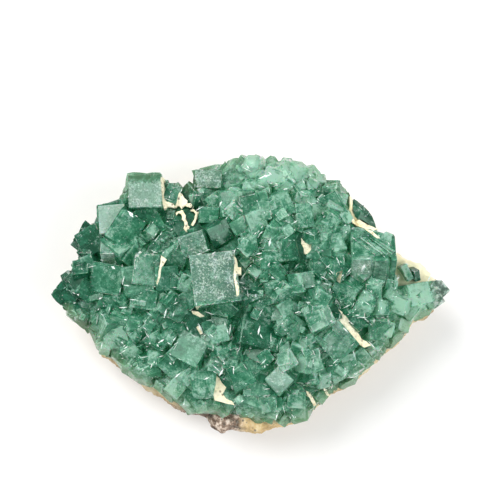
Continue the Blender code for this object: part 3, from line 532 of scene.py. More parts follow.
def worn_at(x, y):
    """How worn crystals are: rounded along the upper rim, a little along the lower one, sharp elsewhere."""
    upper = 0.24 * math.exp(-((x - 4) ** 2 / 160 + (y - 25) ** 2 / 18))
    return upper + 0.14 * math.exp(-((1 - rim_share(x, y)) / 0.10) ** 2) * (y < -4)


def fill_look(dice, x, y):
    """Frost and tone of a seeded crystal, which hang on where it is."""
    pale = PALE_USUAL + 0.12 * dice.uniform(-1, 1)
    for amount, middle_x, middle_y, across, along in PALE_AREAS:
        pale += amount * math.exp(-((x - middle_x) ** 2 / across + (y - middle_y) ** 2 / along))
    pale += 0.22 * math.exp(-((1 - rim_share(x, y)) / 0.12) ** 2) * (y < -4)
    frost = dice.random() ** 2.2 * 0.75
    frost = min(1.0, frost + 0.8 * math.exp(-((x - 36.8) ** 2 + (y - 1) ** 2) / 6))
    return frost, min(max(pale, 0.0), 1.0)


def grown_parts(crystal, dice):
    """A crystal's growth steps, as flat blocks raised a little on its faces, and now and then a twin."""
    parts = []
    width, height, depth = crystal.size
    small = min(width, height)
    if small < 2.4 or small > 5.9 or crystal.frost > 0.6:
        return parts
    for _ in range(dice.choice((0, 0, 1, 1, 2))):
        w = width * dice.uniform(0.25, 0.7)
        h = height * dice.uniform(0.25, 0.7)
        x = dice.choice((-1, 1)) * (width - w) / 2 * dice.choice((1.0, 1.0, 0.5))
        y = dice.choice((-1, 1)) * (height - h) / 2 * dice.choice((1.0, 1.0, 0.5))
        grow = dice.uniform(*STEP_RISE)
        out = dice.uniform(-0.12, 0.16)
        x += math.copysign(out, x)
        y += math.copysign(out, y)
        place = crystal.middle + crystal.turn @ Vector((x, y, grow))
        frost = min(1.0, max(0.0, crystal.frost + dice.uniform(-0.06, 0.06)))
        parts.append(Crystal(place, (w, h, depth), crystal.turn, frost, crystal.tone))
    if dice.random() < TWIN_SHARE and small > 2.6:
        about = Vector((dice.choice((-1, 1)), dice.choice((-1, 1)), 1))
        turn = crystal.turn @ Matrix.Rotation(math.radians(60), 4, about)
        place = crystal.middle + crystal.turn @ Vector((0, 0, (depth - small) / 2 - small * 0.08))
        side = small * dice.uniform(0.72, 0.86)
        parts.append(Crystal(place, (side, side, side), turn, crystal.frost * 0.6, crystal.tone))
    return parts


def ridges_of(block):
    """The parallel ridges slantwise over the big block's upper side, and the steps on its front."""
    width, height, depth = block.size
    found = []
    for across, along, length, wide, rise in BLOCK_RIDGES:
        slant = Matrix.Rotation(math.radians(BLOCK_SLANT), 4, "Y")
        place = block.middle + block.turn @ Vector((across, height / 2 - 0.5 + rise, depth / 2 - along))
        found.append(Crystal(place, (wide, 1.0, length), block.turn @ slant, 0.3, block.tone + 0.1))
    for x, y, wide, high, rise, frost, tone in BLOCK_STEPS:
        place = block.middle + block.turn @ Vector((x, y, rise))
        found.append(Crystal(place, (wide, high, depth), block.turn, frost, tone))
    return found


CORNERS = tuple(itertools.product((-1, 1), repeat=3))


def box_points(size, cuts):
    """The 24 points of a box whose corners are cut back by their own amounts."""
    half = np.array(size) / 2
    points = []
    for sign, cut in zip(CORNERS, cuts):
        for axis in range(3):
            point = half - cut
            point[axis] = half[axis]
            points.append(np.array(sign) * point)
    return points


def unit_faces():
    """Faces of a chamfered box over 24 points, three for each corner, with the side that each one is."""
    number = {corner: i for i, corner in enumerate(CORNERS)}
    faces = []
    for axis in range(3):
        u, v = [i for i in range(3) if i != axis]
        for sign in (-1, 1):
            ring = []
            for a, b in ((-1, -1), (1, -1), (1, 1), (-1, 1)):
                corner = [0, 0, 0]
                corner[axis], corner[u], corner[v] = sign, a, b
                ring.append(number[tuple(corner)] * 3 + axis)
            faces.append((ring, axis * 2 + (sign > 0)))
    for along in range(3):
        u, v = [i for i in range(3) if i != along]
        for a in (-1, 1):
            for b in (-1, 1):
                low = [0, 0, 0]
                low[along], low[u], low[v] = -1, a, b
                high = list(low)
                high[along] = 1
                first, second = number[tuple(low)] * 3, number[tuple(high)] * 3
                faces.append(([first + u, second + u, second + v, first + v], CHAMFER_SIDE))
    for i in range(8):
        faces.append(([i * 3, i * 3 + 1, i * 3 + 2], CHAMFER_SIDE))
    points = box_points((2.0, 2.0, 2.0), [0.2] * 8)
    turned = []
    for ring, side in faces:
        a, b, c = points[ring[0]], points[ring[1]], points[ring[2]]
        middle = sum(points[i] for i in ring) / len(ring)
        if np.dot(np.cross(b - a, c - a), middle) < 0:
            ring = ring[::-1]
        turned.append((ring, side))
    return turned


UNIT_FACES = unit_faces()


def new_object(name, data):
    made = bpy.data.objects.new(name, data)
    bpy.context.scene.collection.objects.link(made)
    return made


def boxes_object(name, crystals, numbers, dice):
    """One object of many chamfered crystals. Each face keeps its crystal's number and its side."""
    verts = []
    faces = []
    owners = []
    sides = []
    for crystal, number in zip(crystals, numbers):
        small = min(crystal.size)
        cut = max(min(dice.uniform(*CHAMFER), small * 0.08), small * crystal.worn)
        cuts = [cut * dice.uniform(0.6, 1.5) for _ in range(8)]
        for i in range(8):
            if dice.random() < CHIP_SHARE:
                cuts[i] = max(cut, small * dice.uniform(*CHIP) * dice.random())
        start = len(verts)
        for point in box_points(crystal.size, cuts):
            place = crystal.middle + crystal.turn @ Vector(point)
            verts.append(place * MM)
        for ring, side in UNIT_FACES:
            faces.append([start + i for i in ring])
            owners.append(number)
            sides.append(side)
    mesh = bpy.data.meshes.new(name)
    mesh.from_pydata(verts, [], faces)
    mark_faces(mesh, owners, sides)
    return new_object(name, mesh)


def mark_faces(mesh, owners, sides):
    for name, values in (("crystal", owners), ("side", sides)):
        layer = mesh.attributes.new(name, "INT", "FACE")
        layer.data.foreach_set("value", values)


def keep_result(target):
    """Makes what the object's modifiers give its own mesh."""
    bpy.context.view_layer.update()
    view = target.evaluated_get(bpy.context.evaluated_depsgraph_get())
    mesh = bpy.data.meshes.new_from_object(view)
    target.modifiers.clear()
    target.data = mesh


def combine(target, other, operation):
    """The Boolean result of two closed objects, kept on the first one. The other is taken away."""
    step = target.modifiers.new(operation.lower(), "BOOLEAN")
    step.operation = operation
    step.solver = "MANIFOLD"
    step.object = other
    keep_result(target)
    bpy.data.objects.remove(other)


def to_object(name, work, number=-1, side=CUT_SIDE):
    """The bmesh as an object whose faces all have one owner and side."""
    bmesh.ops.recalc_face_normals(work, faces=work.faces)
    mesh = bpy.data.meshes.new(name)
    work.to_mesh(mesh)
    work.free()
    mark_faces(mesh, [number] * len(mesh.polygons), [side] * len(mesh.polygons))
    return new_object(name, mesh)


def ring_of(work, outline, height):
    """Corners over an outline, all at one height."""
    return [work.verts.new((x * MM, y * MM, height * MM)) for x, y in outline]


def join_rings(work, lower, upper):
    """A wall of faces between two rings of corners."""
    for i in range(len(lower)):
        j = (i + 1) % len(lower)
        work.faces.new((lower[i], lower[j], upper[j], upper[i]))


def close_rings(work, bottom, top):
    """The faces of a closed body between two rings of corners."""
    work.faces.new(list(reversed(bottom)))
    work.faces.new(top)
    join_rings(work, bottom, top)


def cut_prism(target, outline, low):
    """Cuts away what the target has over an outline, above a height."""
    work = bmesh.new()
    close_rings(work, ring_of(work, outline, low), ring_of(work, outline, CUT_TOP))
    combine(target, to_object("prism", work), "DIFFERENCE")


def bed_object():
    """The bed that the crystals grew from."""
    work = bmesh.new()
    levels = [ring_of(work, [(x * share, y * share) for x, y in RIM], height) for share, height in BED_RINGS]
    for lower, upper in zip(levels, levels[1:]):
        join_rings(work, lower, upper)
    work.faces.new(list(reversed(levels[0])))
    top = work.verts.new((0.0, 0.0, BED_PEAK * MM))
    for first, second in zip(levels[-1], levels[-1][1:] + levels[-1][:1]):
        work.faces.new((first, second, top))
    bmesh.ops.triangulate(work, faces=work.faces)
    return to_object("fluorite_bed", work, 0, 0)


def rim_object():
    """The room inside the rim, with sides broken in facets. What grows past it is trimmed off."""
    work = bmesh.new()
    levels = []
    for share, height in TRIM_RINGS:
        places = []
        for (x1, y1), (x2, y2) in zip(RIM, RIM[1:] + RIM[:1]):
            count = max(1, round(math.hypot(x2 - x1, y2 - y1) / TRIM_FACET))
            for i in range(count):
                x = x1 + (x2 - x1) * i / count
                y = y1 + (y2 - y1) * i / count
                wave = noise.noise(Vector((x * 0.5, y * 0.5, height * 0.5))) * TRIM_WAVE
                back = TRIM_SLOPE * max(0.0, height - TRIM_SLOPE_FROM) * max(0.0, min(1.0, (-y - 3) / 5))
                grow = share + (wave - back) / max(math.hypot(x, y), 1.0)
                places.append((x * grow, y * grow))
        levels.append(ring_of(work, places, height))
    for lower, upper in zip(levels, levels[1:]):
        join_rings(work, lower, upper)
    work.faces.new(list(reversed(levels[0])))
    work.faces.new(levels[-1])
    bmesh.ops.triangulate(work, faces=work.faces)
    return to_object("rim", work)


def add_all(target, crystals, first_number, dice):
    """Joins crystals to the target in rounds, each of crystals that don't meet each other."""
    rounds = []
    for number, crystal in enumerate(crystals, first_number):
        for members in rounds:
            if all((crystal.middle - near.middle).length > crystal.reach + near.reach for near, _ in members):
                members.append((crystal, number))
                break
        else:
            rounds.append([(crystal, number)])
    for members in rounds:
        made = boxes_object("crystals", [c for c, _ in members], [n for _, n in members], dice)
        combine(target, made, "UNION")


def surface_of(target):
    """A tree over an object's mesh, for finding where its surface is."""
    work = bmesh.new()
    work.from_mesh(target.data)
    tree = BVHTree.FromBMesh(work)
    work.free()
    return tree


def drop(tree, x, y):
    """What a straight drop onto a surface meets at a place: the spot, the normal there and the face."""
    return tree.ray_cast(Vector((x * MM, y * MM, DROP_FROM * MM)), Vector((0, 0, -1)))[:3]


def small_crystals(target, dice):
    """Small crystals in the gaps between the large ones, above and round the side."""
    tree = surface_of(target)
    owner = [item.value for item in target.data.attributes["crystal"].data]
    sparse_x, sparse_y, sparse_width, sparse_loss = SMALL_SPARSE
    found = []
    for _ in range(SMALL_TRIES):
        x, y = dice.uniform(-38, 38), dice.uniform(-27, 27)
        size = SMALL_SIZES[0] + (SMALL_SIZES[1] - SMALL_SIZES[0]) * dice.random() ** 1.6
        turn = turning(dice.uniform(0, 90), dice.uniform(0, 54), dice.uniform(0, 360))
        keep = dice.random()
        frost, tone = fill_look(dice, x, y)
        if rim_share(x, y) > 0.96 or from_seam(x, y) < size * 0.5:
            continue
        if on_bare_ground(x, y):
            continue
        spot, normal, face = drop(tree, x, y)
        if spot is None or 1 <= owner[face] <= len(CRYSTALS) and keep > SMALL_ON_NAMED:
            continue
        high = spot.z / MM - bed_height(x, y)
        if any(high > level and keep > chance for level, chance in SMALL_HIGH):
            continue
        if keep < math.exp(-((x - sparse_x) ** 2 + (y - sparse_y) ** 2) / sparse_width) * sparse_loss:
            continue
        middle = spot / MM - Vector(normal) * size * dice.uniform(0.28, 0.48)
        shape = (size, size * dice.uniform(0.85, 1.15), size)
        found.append(Crystal(middle, shape, turn, frost, min(1.0, tone + 0.08), worn_at(x, y)))
    for _ in range(SIDE_TRIES):
        angle = dice.uniform(0, 2 * math.pi)
        height = dice.uniform(8.4, 13.0)
        size = dice.uniform(*SIDE_SIZES)
        turn = turning(dice.uniform(0, 90), dice.uniform(0, 90), math.degrees(angle) + dice.uniform(-40, 40))
        frost, tone = fill_look(dice, 30 * math.cos(angle), 20 * math.sin(angle))
        way = Vector((math.cos(angle), math.sin(angle), 0))
        spot, normal, _, _ = tree.ray_cast(way * 0.06 + Vector((0, 0, height * MM)), -way)
        if spot is None:
            continue
        x, y = spot.x / MM, spot.y / MM
        if on_bare_ground(x, y) or rim_share(x, y) > 0.97:
            continue
        middle = spot / MM - way * size * 0.3
        found.append(Crystal(middle, (size, size, size), turn, frost, tone))
    return found


def glints(target, dice):
    """Thin bright slivers where edges have broken, which also stand in as painted glints, each along the edge
    between two faces.
    """
    tree = surface_of(target)
    found = []
    for x, y, way, length, wide in GLINTS_AND_BREAKS:
        spot, normal, _ = drop(tree, *seen_at(x, y, SEAM_SEEN))
        along = Vector((math.cos(math.radians(way)), math.sin(math.radians(way)), 0))
        across = Vector(normal).cross(along).normalized()
        turn = Matrix((across, across.cross(-normal), normal)).transposed().to_4x4()
        middle = spot / MM - Vector(normal) * 0.05
        found.append(Crystal(middle, (wide * 1.3, length * 1.3, GLINT_HEIGHT), turn, BRIGHT, 1.0))
    for _ in range(GLINT_TRIES):
        x, y = dice.uniform(-38, 38), dice.uniform(-27, 27)
        way = dice.uniform(0, 2 * math.pi)
        size = (dice.uniform(*GLINT_WIDTHS), dice.uniform(0.5, 2.4) * dice.random() + 0.35, GLINT_HEIGHT)
        keep = dice.random()
        if rim_share(x, y) > 0.95 or keep > 0.35 + 0.9 * noise.noise(Vector((x * 0.3, y * 0.3, 4.5))):
            continue
        spot, normal, _ = drop(tree, x, y)
        _, other, _ = drop(tree, x + 0.3 * math.cos(way), y + 0.3 * math.sin(way))
        if spot is None or other is None or normal.z < 0.2 or normal.dot(other) > 0.93:
            continue
        along = (normal.cross(other)).normalized()
        turn = Matrix((along.cross(normal), along, normal)).transposed().to_4x4()
        middle = spot / MM - Vector(normal) * 0.05
        found.append(Crystal(middle, size, turn, BRIGHT, 1.0))
    return found


def slivers_object(name, slivers):
    """Slivers pointed at both ends, as one object."""
    work = bmesh.new()
    for sliver in slivers:
        width, length, height = sliver.size
        places = [
            (0, -length / 2, 0), (width / 2, 0, 0), (0, length / 2, 0), (-width / 2, 0, 0),
            (0, 0, height / 2), (0, 0, -height / 2),
        ]
        verts = [work.verts.new((sliver.middle + sliver.turn @ Vector(place)) * MM) for place in places]
        for i in range(4):
            work.faces.new((verts[i], verts[(i + 1) % 4], verts[4]))
            work.faces.new((verts[(i + 1) % 4], verts[i], verts[5]))
    return to_object(name, work)


def keep_outer_shell(target):
    """Leaves the body with the most faces and drops pockets closed in between crystals."""
    work = bmesh.new()
    work.from_mesh(target.data)
    unseen = set(work.faces)
    shells = []
    while unseen:
        shell = [unseen.pop()]
        for face in shell:
            for edge in face.edges:
                for other in edge.link_faces:
                    if other in unseen:
                        unseen.remove(other)
                        shell.append(other)
        shells.append(shell)
    shells.sort(key=len)
    for shell in shells[:-1]:
        bmesh.ops.delete(work, geom=shell, context="FACES")
    work.to_mesh(target.data)
    work.free()


def matrix_without_seams():
    """The matrix copied without its inner seams, which are a piece of their own in the looks."""
    made = closed_copy("matrix", "matrix_ground")
    for i, (outline, _) in enumerate(PLACED_SEAMS):
        if i == RIM_SEAM:
            continue
        for first, second in zip(outline, outline[1:] + outline[:1]):
            along = (Vector(second) - Vector(first)).normalized() * SEAM_REACH
            side = Vector((-along.y, along.x))
            start, end = Vector(first) - along, Vector(second) + along
            cut_prism(made, (start - side, end - side, end + side, start + side), SEAM_JOIN)
    return made


def cut_by_ground(target, ground):
    """Cuts the ground, let down a little, out of what stands in it."""
    mesh = ground.data.copy()
    mesh.transform(Matrix.Translation((0, 0, -IN_CLAY * MM)))
    combine(target, new_object("cutter", mesh), "DIFFERENCE")


def closed_copy(node, name):
    """A node's shape as a new object, its corners joined so that it is one closed surface."""
    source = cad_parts[node].data
    work = bmesh.new()
    verts = [work.verts.new(vert.co) for vert in source.vertices]
    for face in source.polygons:
        work.faces.new([verts[i] for i in face.vertices])
    bmesh.ops.remove_doubles(work, verts=work.verts, dist=WELD * MM)
    return to_object(name, work)


def paint_faces(target, crystals):
    """Writes onto the mesh how each face looks, and where on its face each corner is."""
    mesh = target.data
    count = len(mesh.polygons)
    corners = len(mesh.loops)
    owner, side, total = (np.zeros(count, dtype=np.int32) for _ in range(3))
    mesh.attributes["crystal"].data.foreach_get("value", owner)
    mesh.attributes["side"].data.foreach_get("value", side)
    mesh.polygons.foreach_get("loop_total", total)
    vertex = np.zeros(corners, dtype=np.int32)
    mesh.loops.foreach_get("vertex_index", vertex)
    places = np.zeros(len(mesh.vertices) * 3)
    mesh.vertices.foreach_get("co", places)
    face = np.repeat(np.arange(count), total)
    place = places.reshape(-1, 3)[vertex] / MM

    # Where each corner lies on its crystal's face, and how far that face reaches.
    known = (owner >= 1) & (owner <= len(crystals))
    index = np.where(known, owner - 1, 0)
    middles = np.array([crystal.middle for crystal in crystals])
    turns = np.array([crystal.turn.to_3x3() for crystal in crystals])
    halves = np.array([crystal.size for crystal in crystals]) / 2
    local = np.einsum("nji,nj->ni", turns[index[face]], place - middles[index[face]])
    axis = np.clip(side // 2, 0, 2)
    first = np.where(axis == 0, 1, 0)
    second = np.where(axis == 2, 1, 2)
    flat = known & (side < CHAMFER_SIDE)
    row = np.arange(corners)
    spot = np.zeros((corners, 3))
    spot[:, 0] = np.where(flat[face], local[row, first[face]], 0)
    spot[:, 1] = np.where(flat[face], local[row, second[face]], 0)
    reach = np.full((corners, 3), 9.0)
    reach[:, 0] = np.where(flat[face], halves[index[face], first[face]], 9)
    reach[:, 1] = np.where(flat[face], halves[index[face], second[face]], 9)

    looks = {}
    drawn = np.zeros((count, 6))
    for i, key in enumerate(zip(owner.tolist(), side.tolist())):
        if key not in looks:
            draw = random.Random(key[0] * 13 + key[1] * 7919 + DETAIL_SEED)
            cover, shade, bright = 0.15, 0.45, False
            if 1 <= key[0] <= len(crystals):
                crystal = crystals[key[0] - 1]
                cover = crystal.frost if key[1] == FRONT else crystal.frost * draw.uniform(0.1, 0.9)
                shade = crystal.tone + draw.uniform(-0.15, 0.15)
                bright = crystal.frost == BRIGHT
            # Chamfer faces drawn white here are partly broken edges and partly painted highlights along the
            # edges.
            broken = draw.random() if key[1] == CHAMFER_SIDE else 0.0
            way = draw.uniform(0, 2 * math.pi)
            drift = draw.uniform(*DRIFT)
            looks[key] = (
                min(cover, 1.3), shade, draw.random(), 1.0 if bright else broken,
                drift * math.cos(way), drift * math.sin(way),
            )
        drawn[i] = looks[key]
    angles = np.linspace(-math.pi, math.pi, 721)
    rim = np.interp(np.arctan2(place[:, 1], place[:, 0]), angles, [outline_radius(angle) for angle in angles])
    share = np.hypot(place[:, 0], place[:, 1]) / rim
    y = place[:, 1]
    warm = np.exp(-((1 - share) / 0.07) ** 2) * np.where(y < -3, 0.9, np.where(y > 18, 0.55, 0.0))
    ring_shares, ring_tops = zip((0.0, BED_PEAK), *BED_RINGS[:BED_TOP_FROM - 1:-1])
    above = place[:, 2] - np.interp(share, ring_shares, ring_tops)
    frost, tone, gloss, edge, drift_u, drift_v = drawn[face].T
    tone = np.where((side == CUT_SIDE)[face], np.where(warm > 0.3, 0.72, 0.45), tone)
    drifted = drift_u * spot[:, 0] / reach[:, 0] + drift_v * spot[:, 1] / reach[:, 1]
    tone = tone + np.where(flat[face], drifted, 0)
    # Painted shade: tone darker low down between crystals and paler up on their tops.
    tone = tone + PAINTED_HOLLOW_SHADE * np.clip(above - 2.0, -2.0, 1.0)
    fade = np.ones(corners)
    for number, way, start, end in FADES:
        here = (owner == number + 1)[face] & (side == FRONT)[face]
        along = spot[:, 0] * math.cos(math.radians(way)) + spot[:, 1] * math.sin(math.radians(way))
        fade = np.where(here, (end - along) / (end - start), fade)
    names = ("frost", "fade", "tone", "gloss", "broken_edge_and_glint", "warm")
    for name, values in zip(names, (frost, fade, tone, gloss, edge, warm)):
        layer = mesh.attributes.new(name, "FLOAT", "CORNER")
        layer.data.foreach_set("value", values.astype(np.float32))
    for name, values in (("spot", spot), ("reach", reach)):
        layer = mesh.attributes.new(name, "FLOAT_VECTOR", "CORNER")
        layer.data.foreach_set("vector", values.astype(np.float32).ravel())
    for polygon in mesh.polygons:
        polygon.use_smooth = False


# Materials


class Nodes:
    """Short ways to add and link the nodes of one material."""

    def __init__(self, name):
        self.material = bpy.data.materials.new(name)
        self.material.use_nodes = True
        self.tree = self.material.node_tree
        self.shader = self.tree.nodes["Principled BSDF"]
        self.output = self.tree.nodes["Material Output"]
        self.place = self.add("ShaderNodeTexCoord").outputs["Object"]

    def add(self, kind, **settings):
        node = self.tree.nodes.new(kind)
        for key, value in settings.items():
            setattr(node, key, value)
        return node

    def put(self, socket, value):
        if isinstance(value, bpy.types.NodeSocket):
            self.tree.links.new(value, socket)
        else:
            socket.default_value = value

    def texture(self, kind, scale, **values):
        """A texture in the object's own space, its other sockets set by name."""
        node = self.add(kind)
        for name, value in dict(values, Vector=self.place, Scale=scale).items():
            self.put(node.inputs[name], value)
        return node

    def noise(self, scale, detail=2.0, rough=0.5, warp=0.0):
        node = self.texture("ShaderNodeTexNoise", scale, Detail=detail, Roughness=rough, Distortion=warp)
        return node.outputs["Fac"]

    def cells(self, scale, feature="F1"):
        node = self.texture("ShaderNodeTexVoronoi", scale)
        node.feature = feature
        return node.outputs["Distance"]

    def cell_value(self, scale):
        """A number from 0 to 1 that is the same all over each cell."""
        parts = self.add("ShaderNodeSeparateColor")
        self.put(parts.inputs[0], self.texture("ShaderNodeTexVoronoi", scale).outputs["Color"])
        return parts.outputs[0]

    def edge_distance(self):
        """Distance in millimetres from a place on a crystal's face to the nearest edge of that face."""
        spot = self.add("ShaderNodeVectorMath", operation="ABSOLUTE")
        self.put(spot.inputs[0], self.add("ShaderNodeAttribute", attribute_name="spot").outputs["Vector"])
        room = self.add("ShaderNodeVectorMath", operation="SUBTRACT")
        self.put(room.inputs[0], self.add("ShaderNodeAttribute", attribute_name="reach").outputs["Vector"])
        self.put(room.inputs[1], spot.outputs[0])
        across, along, _ = self.split(room.outputs[0])
        return self.math("MINIMUM", across, along)

    def face_value(self, name):
        return self.add("ShaderNodeAttribute", attribute_name=name).outputs["Fac"]

    def math(self, operation, a, b=0.0, clamp=False):
        node = self.add("ShaderNodeMath", operation=operation, use_clamp=clamp)
        self.put(node.inputs[0], a)
        self.put(node.inputs[1], b)
        return node.outputs[0]

    def plus(self, a, b, clamp=False):
        return self.math("ADD", a, b, clamp)

    def times(self, a, b):
        return self.math("MULTIPLY", a, b)

    def total(self, *values, clamp=False):
        found = values[0]
        for value in values[1:]:
            found = self.plus(found, value, clamp and value is values[-1])
        return found

    def swing(self, value, amount):
        """A value that runs from 0 to 1 as one that swings about 0, by half an amount each way."""
        return self.times(self.math("SUBTRACT", value, 0.5), amount)

    def split(self, value):
        parts = self.add("ShaderNodeSeparateXYZ")
        self.put(parts.inputs[0], value)
        return parts.outputs

    def between(self, value, low, high, to_low=0.0, to_high=1.0):
        node = self.add("ShaderNodeMapRange", interpolation_type="SMOOTHSTEP")
        for socket, number in zip(node.inputs, (value, low, high, to_low, to_high)):
            self.put(socket, number)
        return node.outputs[0]

    def ramp(self, value, stops):
        node = self.add("ShaderNodeValToRGB")
        for place, colour in stops[1:-1]:
            node.color_ramp.elements.new(place)
        for element, (place, colour) in zip(node.color_ramp.elements, stops):
            element.position = place
            element.color = (*colour, 1.0)
        self.put(node.inputs["Fac"], value)
        return node.outputs["Color"]

    def mix(self, share, a, b, kind="MIX"):
        node = self.add("ShaderNodeMix", data_type="RGBA", blend_type=kind)
        self.put(node.inputs[0], share)
        for socket, value in ((node.inputs[6], a), (node.inputs[7], b)):
            self.put(socket, value if isinstance(value, bpy.types.NodeSocket) else (*value, 1.0))
        return node.outputs[2]

    def bump(self, height, strength, distance, under=None):
        node = self.add("ShaderNodeBump")
        self.put(node.inputs["Strength"], strength)
        self.put(node.inputs["Distance"], distance)
        self.put(node.inputs["Height"], height)
        if under is not None:
            self.put(node.inputs["Normal"], under)
        return node.outputs["Normal"]


def fluorite_material(name):
    """Green fluorite: clear and milky by turns, with frosted faces and cloudy tone, pale broken edges that
    are partly painted highlights, painted glint specks, and painted shade and light bands along face edges.
    """
    n = Nodes(name)
    gloss = n.face_value("gloss")
    edge = n.face_value("broken_edge_and_glint")
    warm = n.face_value("warm")
    cloud = n.noise(260, 5.0, 0.65, 2.0)
    fine_cloud = n.noise(1100, 4.0, 0.65, 1.4)
    grain = n.noise(2900, 3.0, 0.8)
    patches = n.noise(520, 3.0, 0.6)
    ragged = n.swing(fine_cloud, 1.2)
    kept = n.plus(n.face_value("fade"), ragged, True)
    kept = n.math("MAXIMUM", kept, n.between(n.face_value("fade"), 0.99, 1.0))
    thick = n.times(n.face_value("frost"), kept)
    frost = n.math("MINIMUM", thick, 1.0)
    to_edge = n.edge_distance()
    wander = n.swing(fine_cloud, 0.5)
    by_edge = n.between(n.plus(to_edge, wander), 0.04, 0.38, 1.0, 0.0)
    zones = n.math("SINE", n.plus(n.times(to_edge, 11.0), n.times(cloud, 9.0)))
    # Painted shade and highlight: a dark band along the edges of most faces and a light band along the edges
    # of the rest.
    rim = n.times(by_edge, n.between(gloss, 0.55, 0.75, -0.24, 0.20))
    shade = n.total(
        n.face_value("tone"), n.swing(cloud, 1.6), n.swing(fine_cloud, 0.9),
        n.swing(n.noise(2600, 3.0, 0.7, 0.8), 0.5), n.swing(n.cell_value(330), 0.30),
        n.swing(n.cell_value(900), 0.16), n.between(n.cells(330, "DISTANCE_TO_EDGE"), 0.0, 0.05, 0.10, 0.0),
        n.times(zones, 0.045), rim, clamp=True,
    )
    green = n.ramp(shade, (
        (0.0, (0.010, 0.105, 0.056)),
        (0.35, (0.040, 0.225, 0.132)),
        (0.65, (0.120, 0.380, 0.252)),
        (1.0, (0.520, 0.820, 0.675)),
    ))
    green = n.mix(n.times(warm, 0.55), green, (0.430, 0.560, 0.300))
    spread = n.math("MAXIMUM", n.between(patches, 0.30, 0.62), n.between(frost, 0.90, 1.0, 0.0, 0.85))
    film = n.times(n.between(frost, 0.25, 0.9), spread)
    film = n.times(film, n.math("SUBTRACT", 1.0, n.times(by_edge, 0.6)))
    white = n.times(n.between(thick, 1.0, 1.25), n.between(fine_cloud, 0.30, 0.70, 0.45, 1.0))
    green = n.mix(n.times(film, 0.8), green, n.mix(white, (0.118, 0.240, 0.184), (0.560, 0.760, 0.670)))
    blotch = n.times(n.between(n.noise(1300, 4.0, 0.7, 0.6), 0.50, 0.62), n.between(frost, 0.30, 0.80))
    green = n.mix(n.times(blotch, 0.6), green, (0.430, 0.650, 0.550))
    veil = n.between(n.noise(290, 3.0, 0.5), 0.52, 0.62)
    veil = n.times(veil, n.between(n.noise(1700, 4.0, 0.7), 0.48, 0.58))
    green = n.mix(n.times(veil, 0.65), green, (0.520, 0.780, 0.670))
    specks = n.plus(grain, n.swing(patches, 0.45))
    specks = n.plus(specks, n.times(n.math("SUBTRACT", frost, 1.0), 0.35))
    specks = n.between(specks, 0.515, 0.585)
    # Painted glints: scattered white specks that stand in for tiny highlights.
    painted_glint_specks = n.between(n.plus(grain, n.times(fine_cloud, 0.5)), 0.90, 0.97)
    # White along broken chamfers and a light line along some faces' edges: partly broken, frosted edges,
    # partly painted edge highlights.
    breaks = n.between(n.noise(1900, 3.0, 0.6), 0.46, 0.60)
    edge_highlight_line = n.times(n.between(to_edge, 0.05, 0.17, 1.0, 0.0), n.between(gloss, 0.66, 0.80))
    edge_highlight_line = n.times(edge_highlight_line, n.between(n.noise(1500, 2.0, 0.6), 0.50, 0.56))
    white_break_and_glint = n.math("MAXIMUM", n.times(n.between(edge, 0.55, 0.95), breaks), edge_highlight_line)
    colour = n.mix(specks, green, (0.740, 0.880, 0.820))
    colour = n.mix(n.math("MAXIMUM", white_break_and_glint, painted_glint_specks), colour, (0.95, 0.98, 0.95))
    end = n.between(n.plus(n.split(n.place)[0], n.times(wander, 0.004)), 0.0338, 0.0350)
    speckled = n.ramp(n.noise(800, 4.0, 0.65), (
        (0.40, (0.030, 0.060, 0.045)),
        (0.47, (0.180, 0.250, 0.210)),
        (0.53, (0.620, 0.720, 0.660)),
        (0.62, (0.920, 0.950, 0.900)),
    ))
    colour = n.mix(n.times(end, 0.9), colour, speckled)
    n.put(n.shader.inputs["Base Color"], colour)

    cover = n.math("MAXIMUM", film, specks)
    rough = n.plus(0.08, n.times(gloss, 0.18))
    rough = n.plus(rough, n.times(cover, 0.40), True)
    n.put(n.shader.inputs["Roughness"], rough)
    ripple = n.bump(n.noise(900, 2.0), 0.25, 0.00006)
    height = n.times(grain, n.plus(cover, 0.05))
    n.put(n.shader.inputs["Normal"], n.bump(height, 0.5, 0.00010, ripple))
    n.shader.inputs["Specular Tint"].default_value = (0.75, 1.0, 0.88, 1.0)
    n.shader.inputs["IOR"].default_value = 1.434
    n.shader.inputs["Transmission Weight"].default_value = 0.5
    n.shader.inputs["Subsurface Weight"].default_value = 0.4
    n.shader.inputs["Subsurface Radius"].default_value = (0.25, 1.0, 0.6)
    n.shader.inputs["Subsurface Scale"].default_value = 0.0006
    depth = n.add("ShaderNodeVolumeAbsorption")
    depth.inputs["Color"].default_value = (0.22, 0.84, 0.62, 1.0)
    depth.inputs["Density"].default_value = 130.0
    n.tree.links.new(depth.outputs["Volume"], n.output.inputs["Volume"])
    return n.material


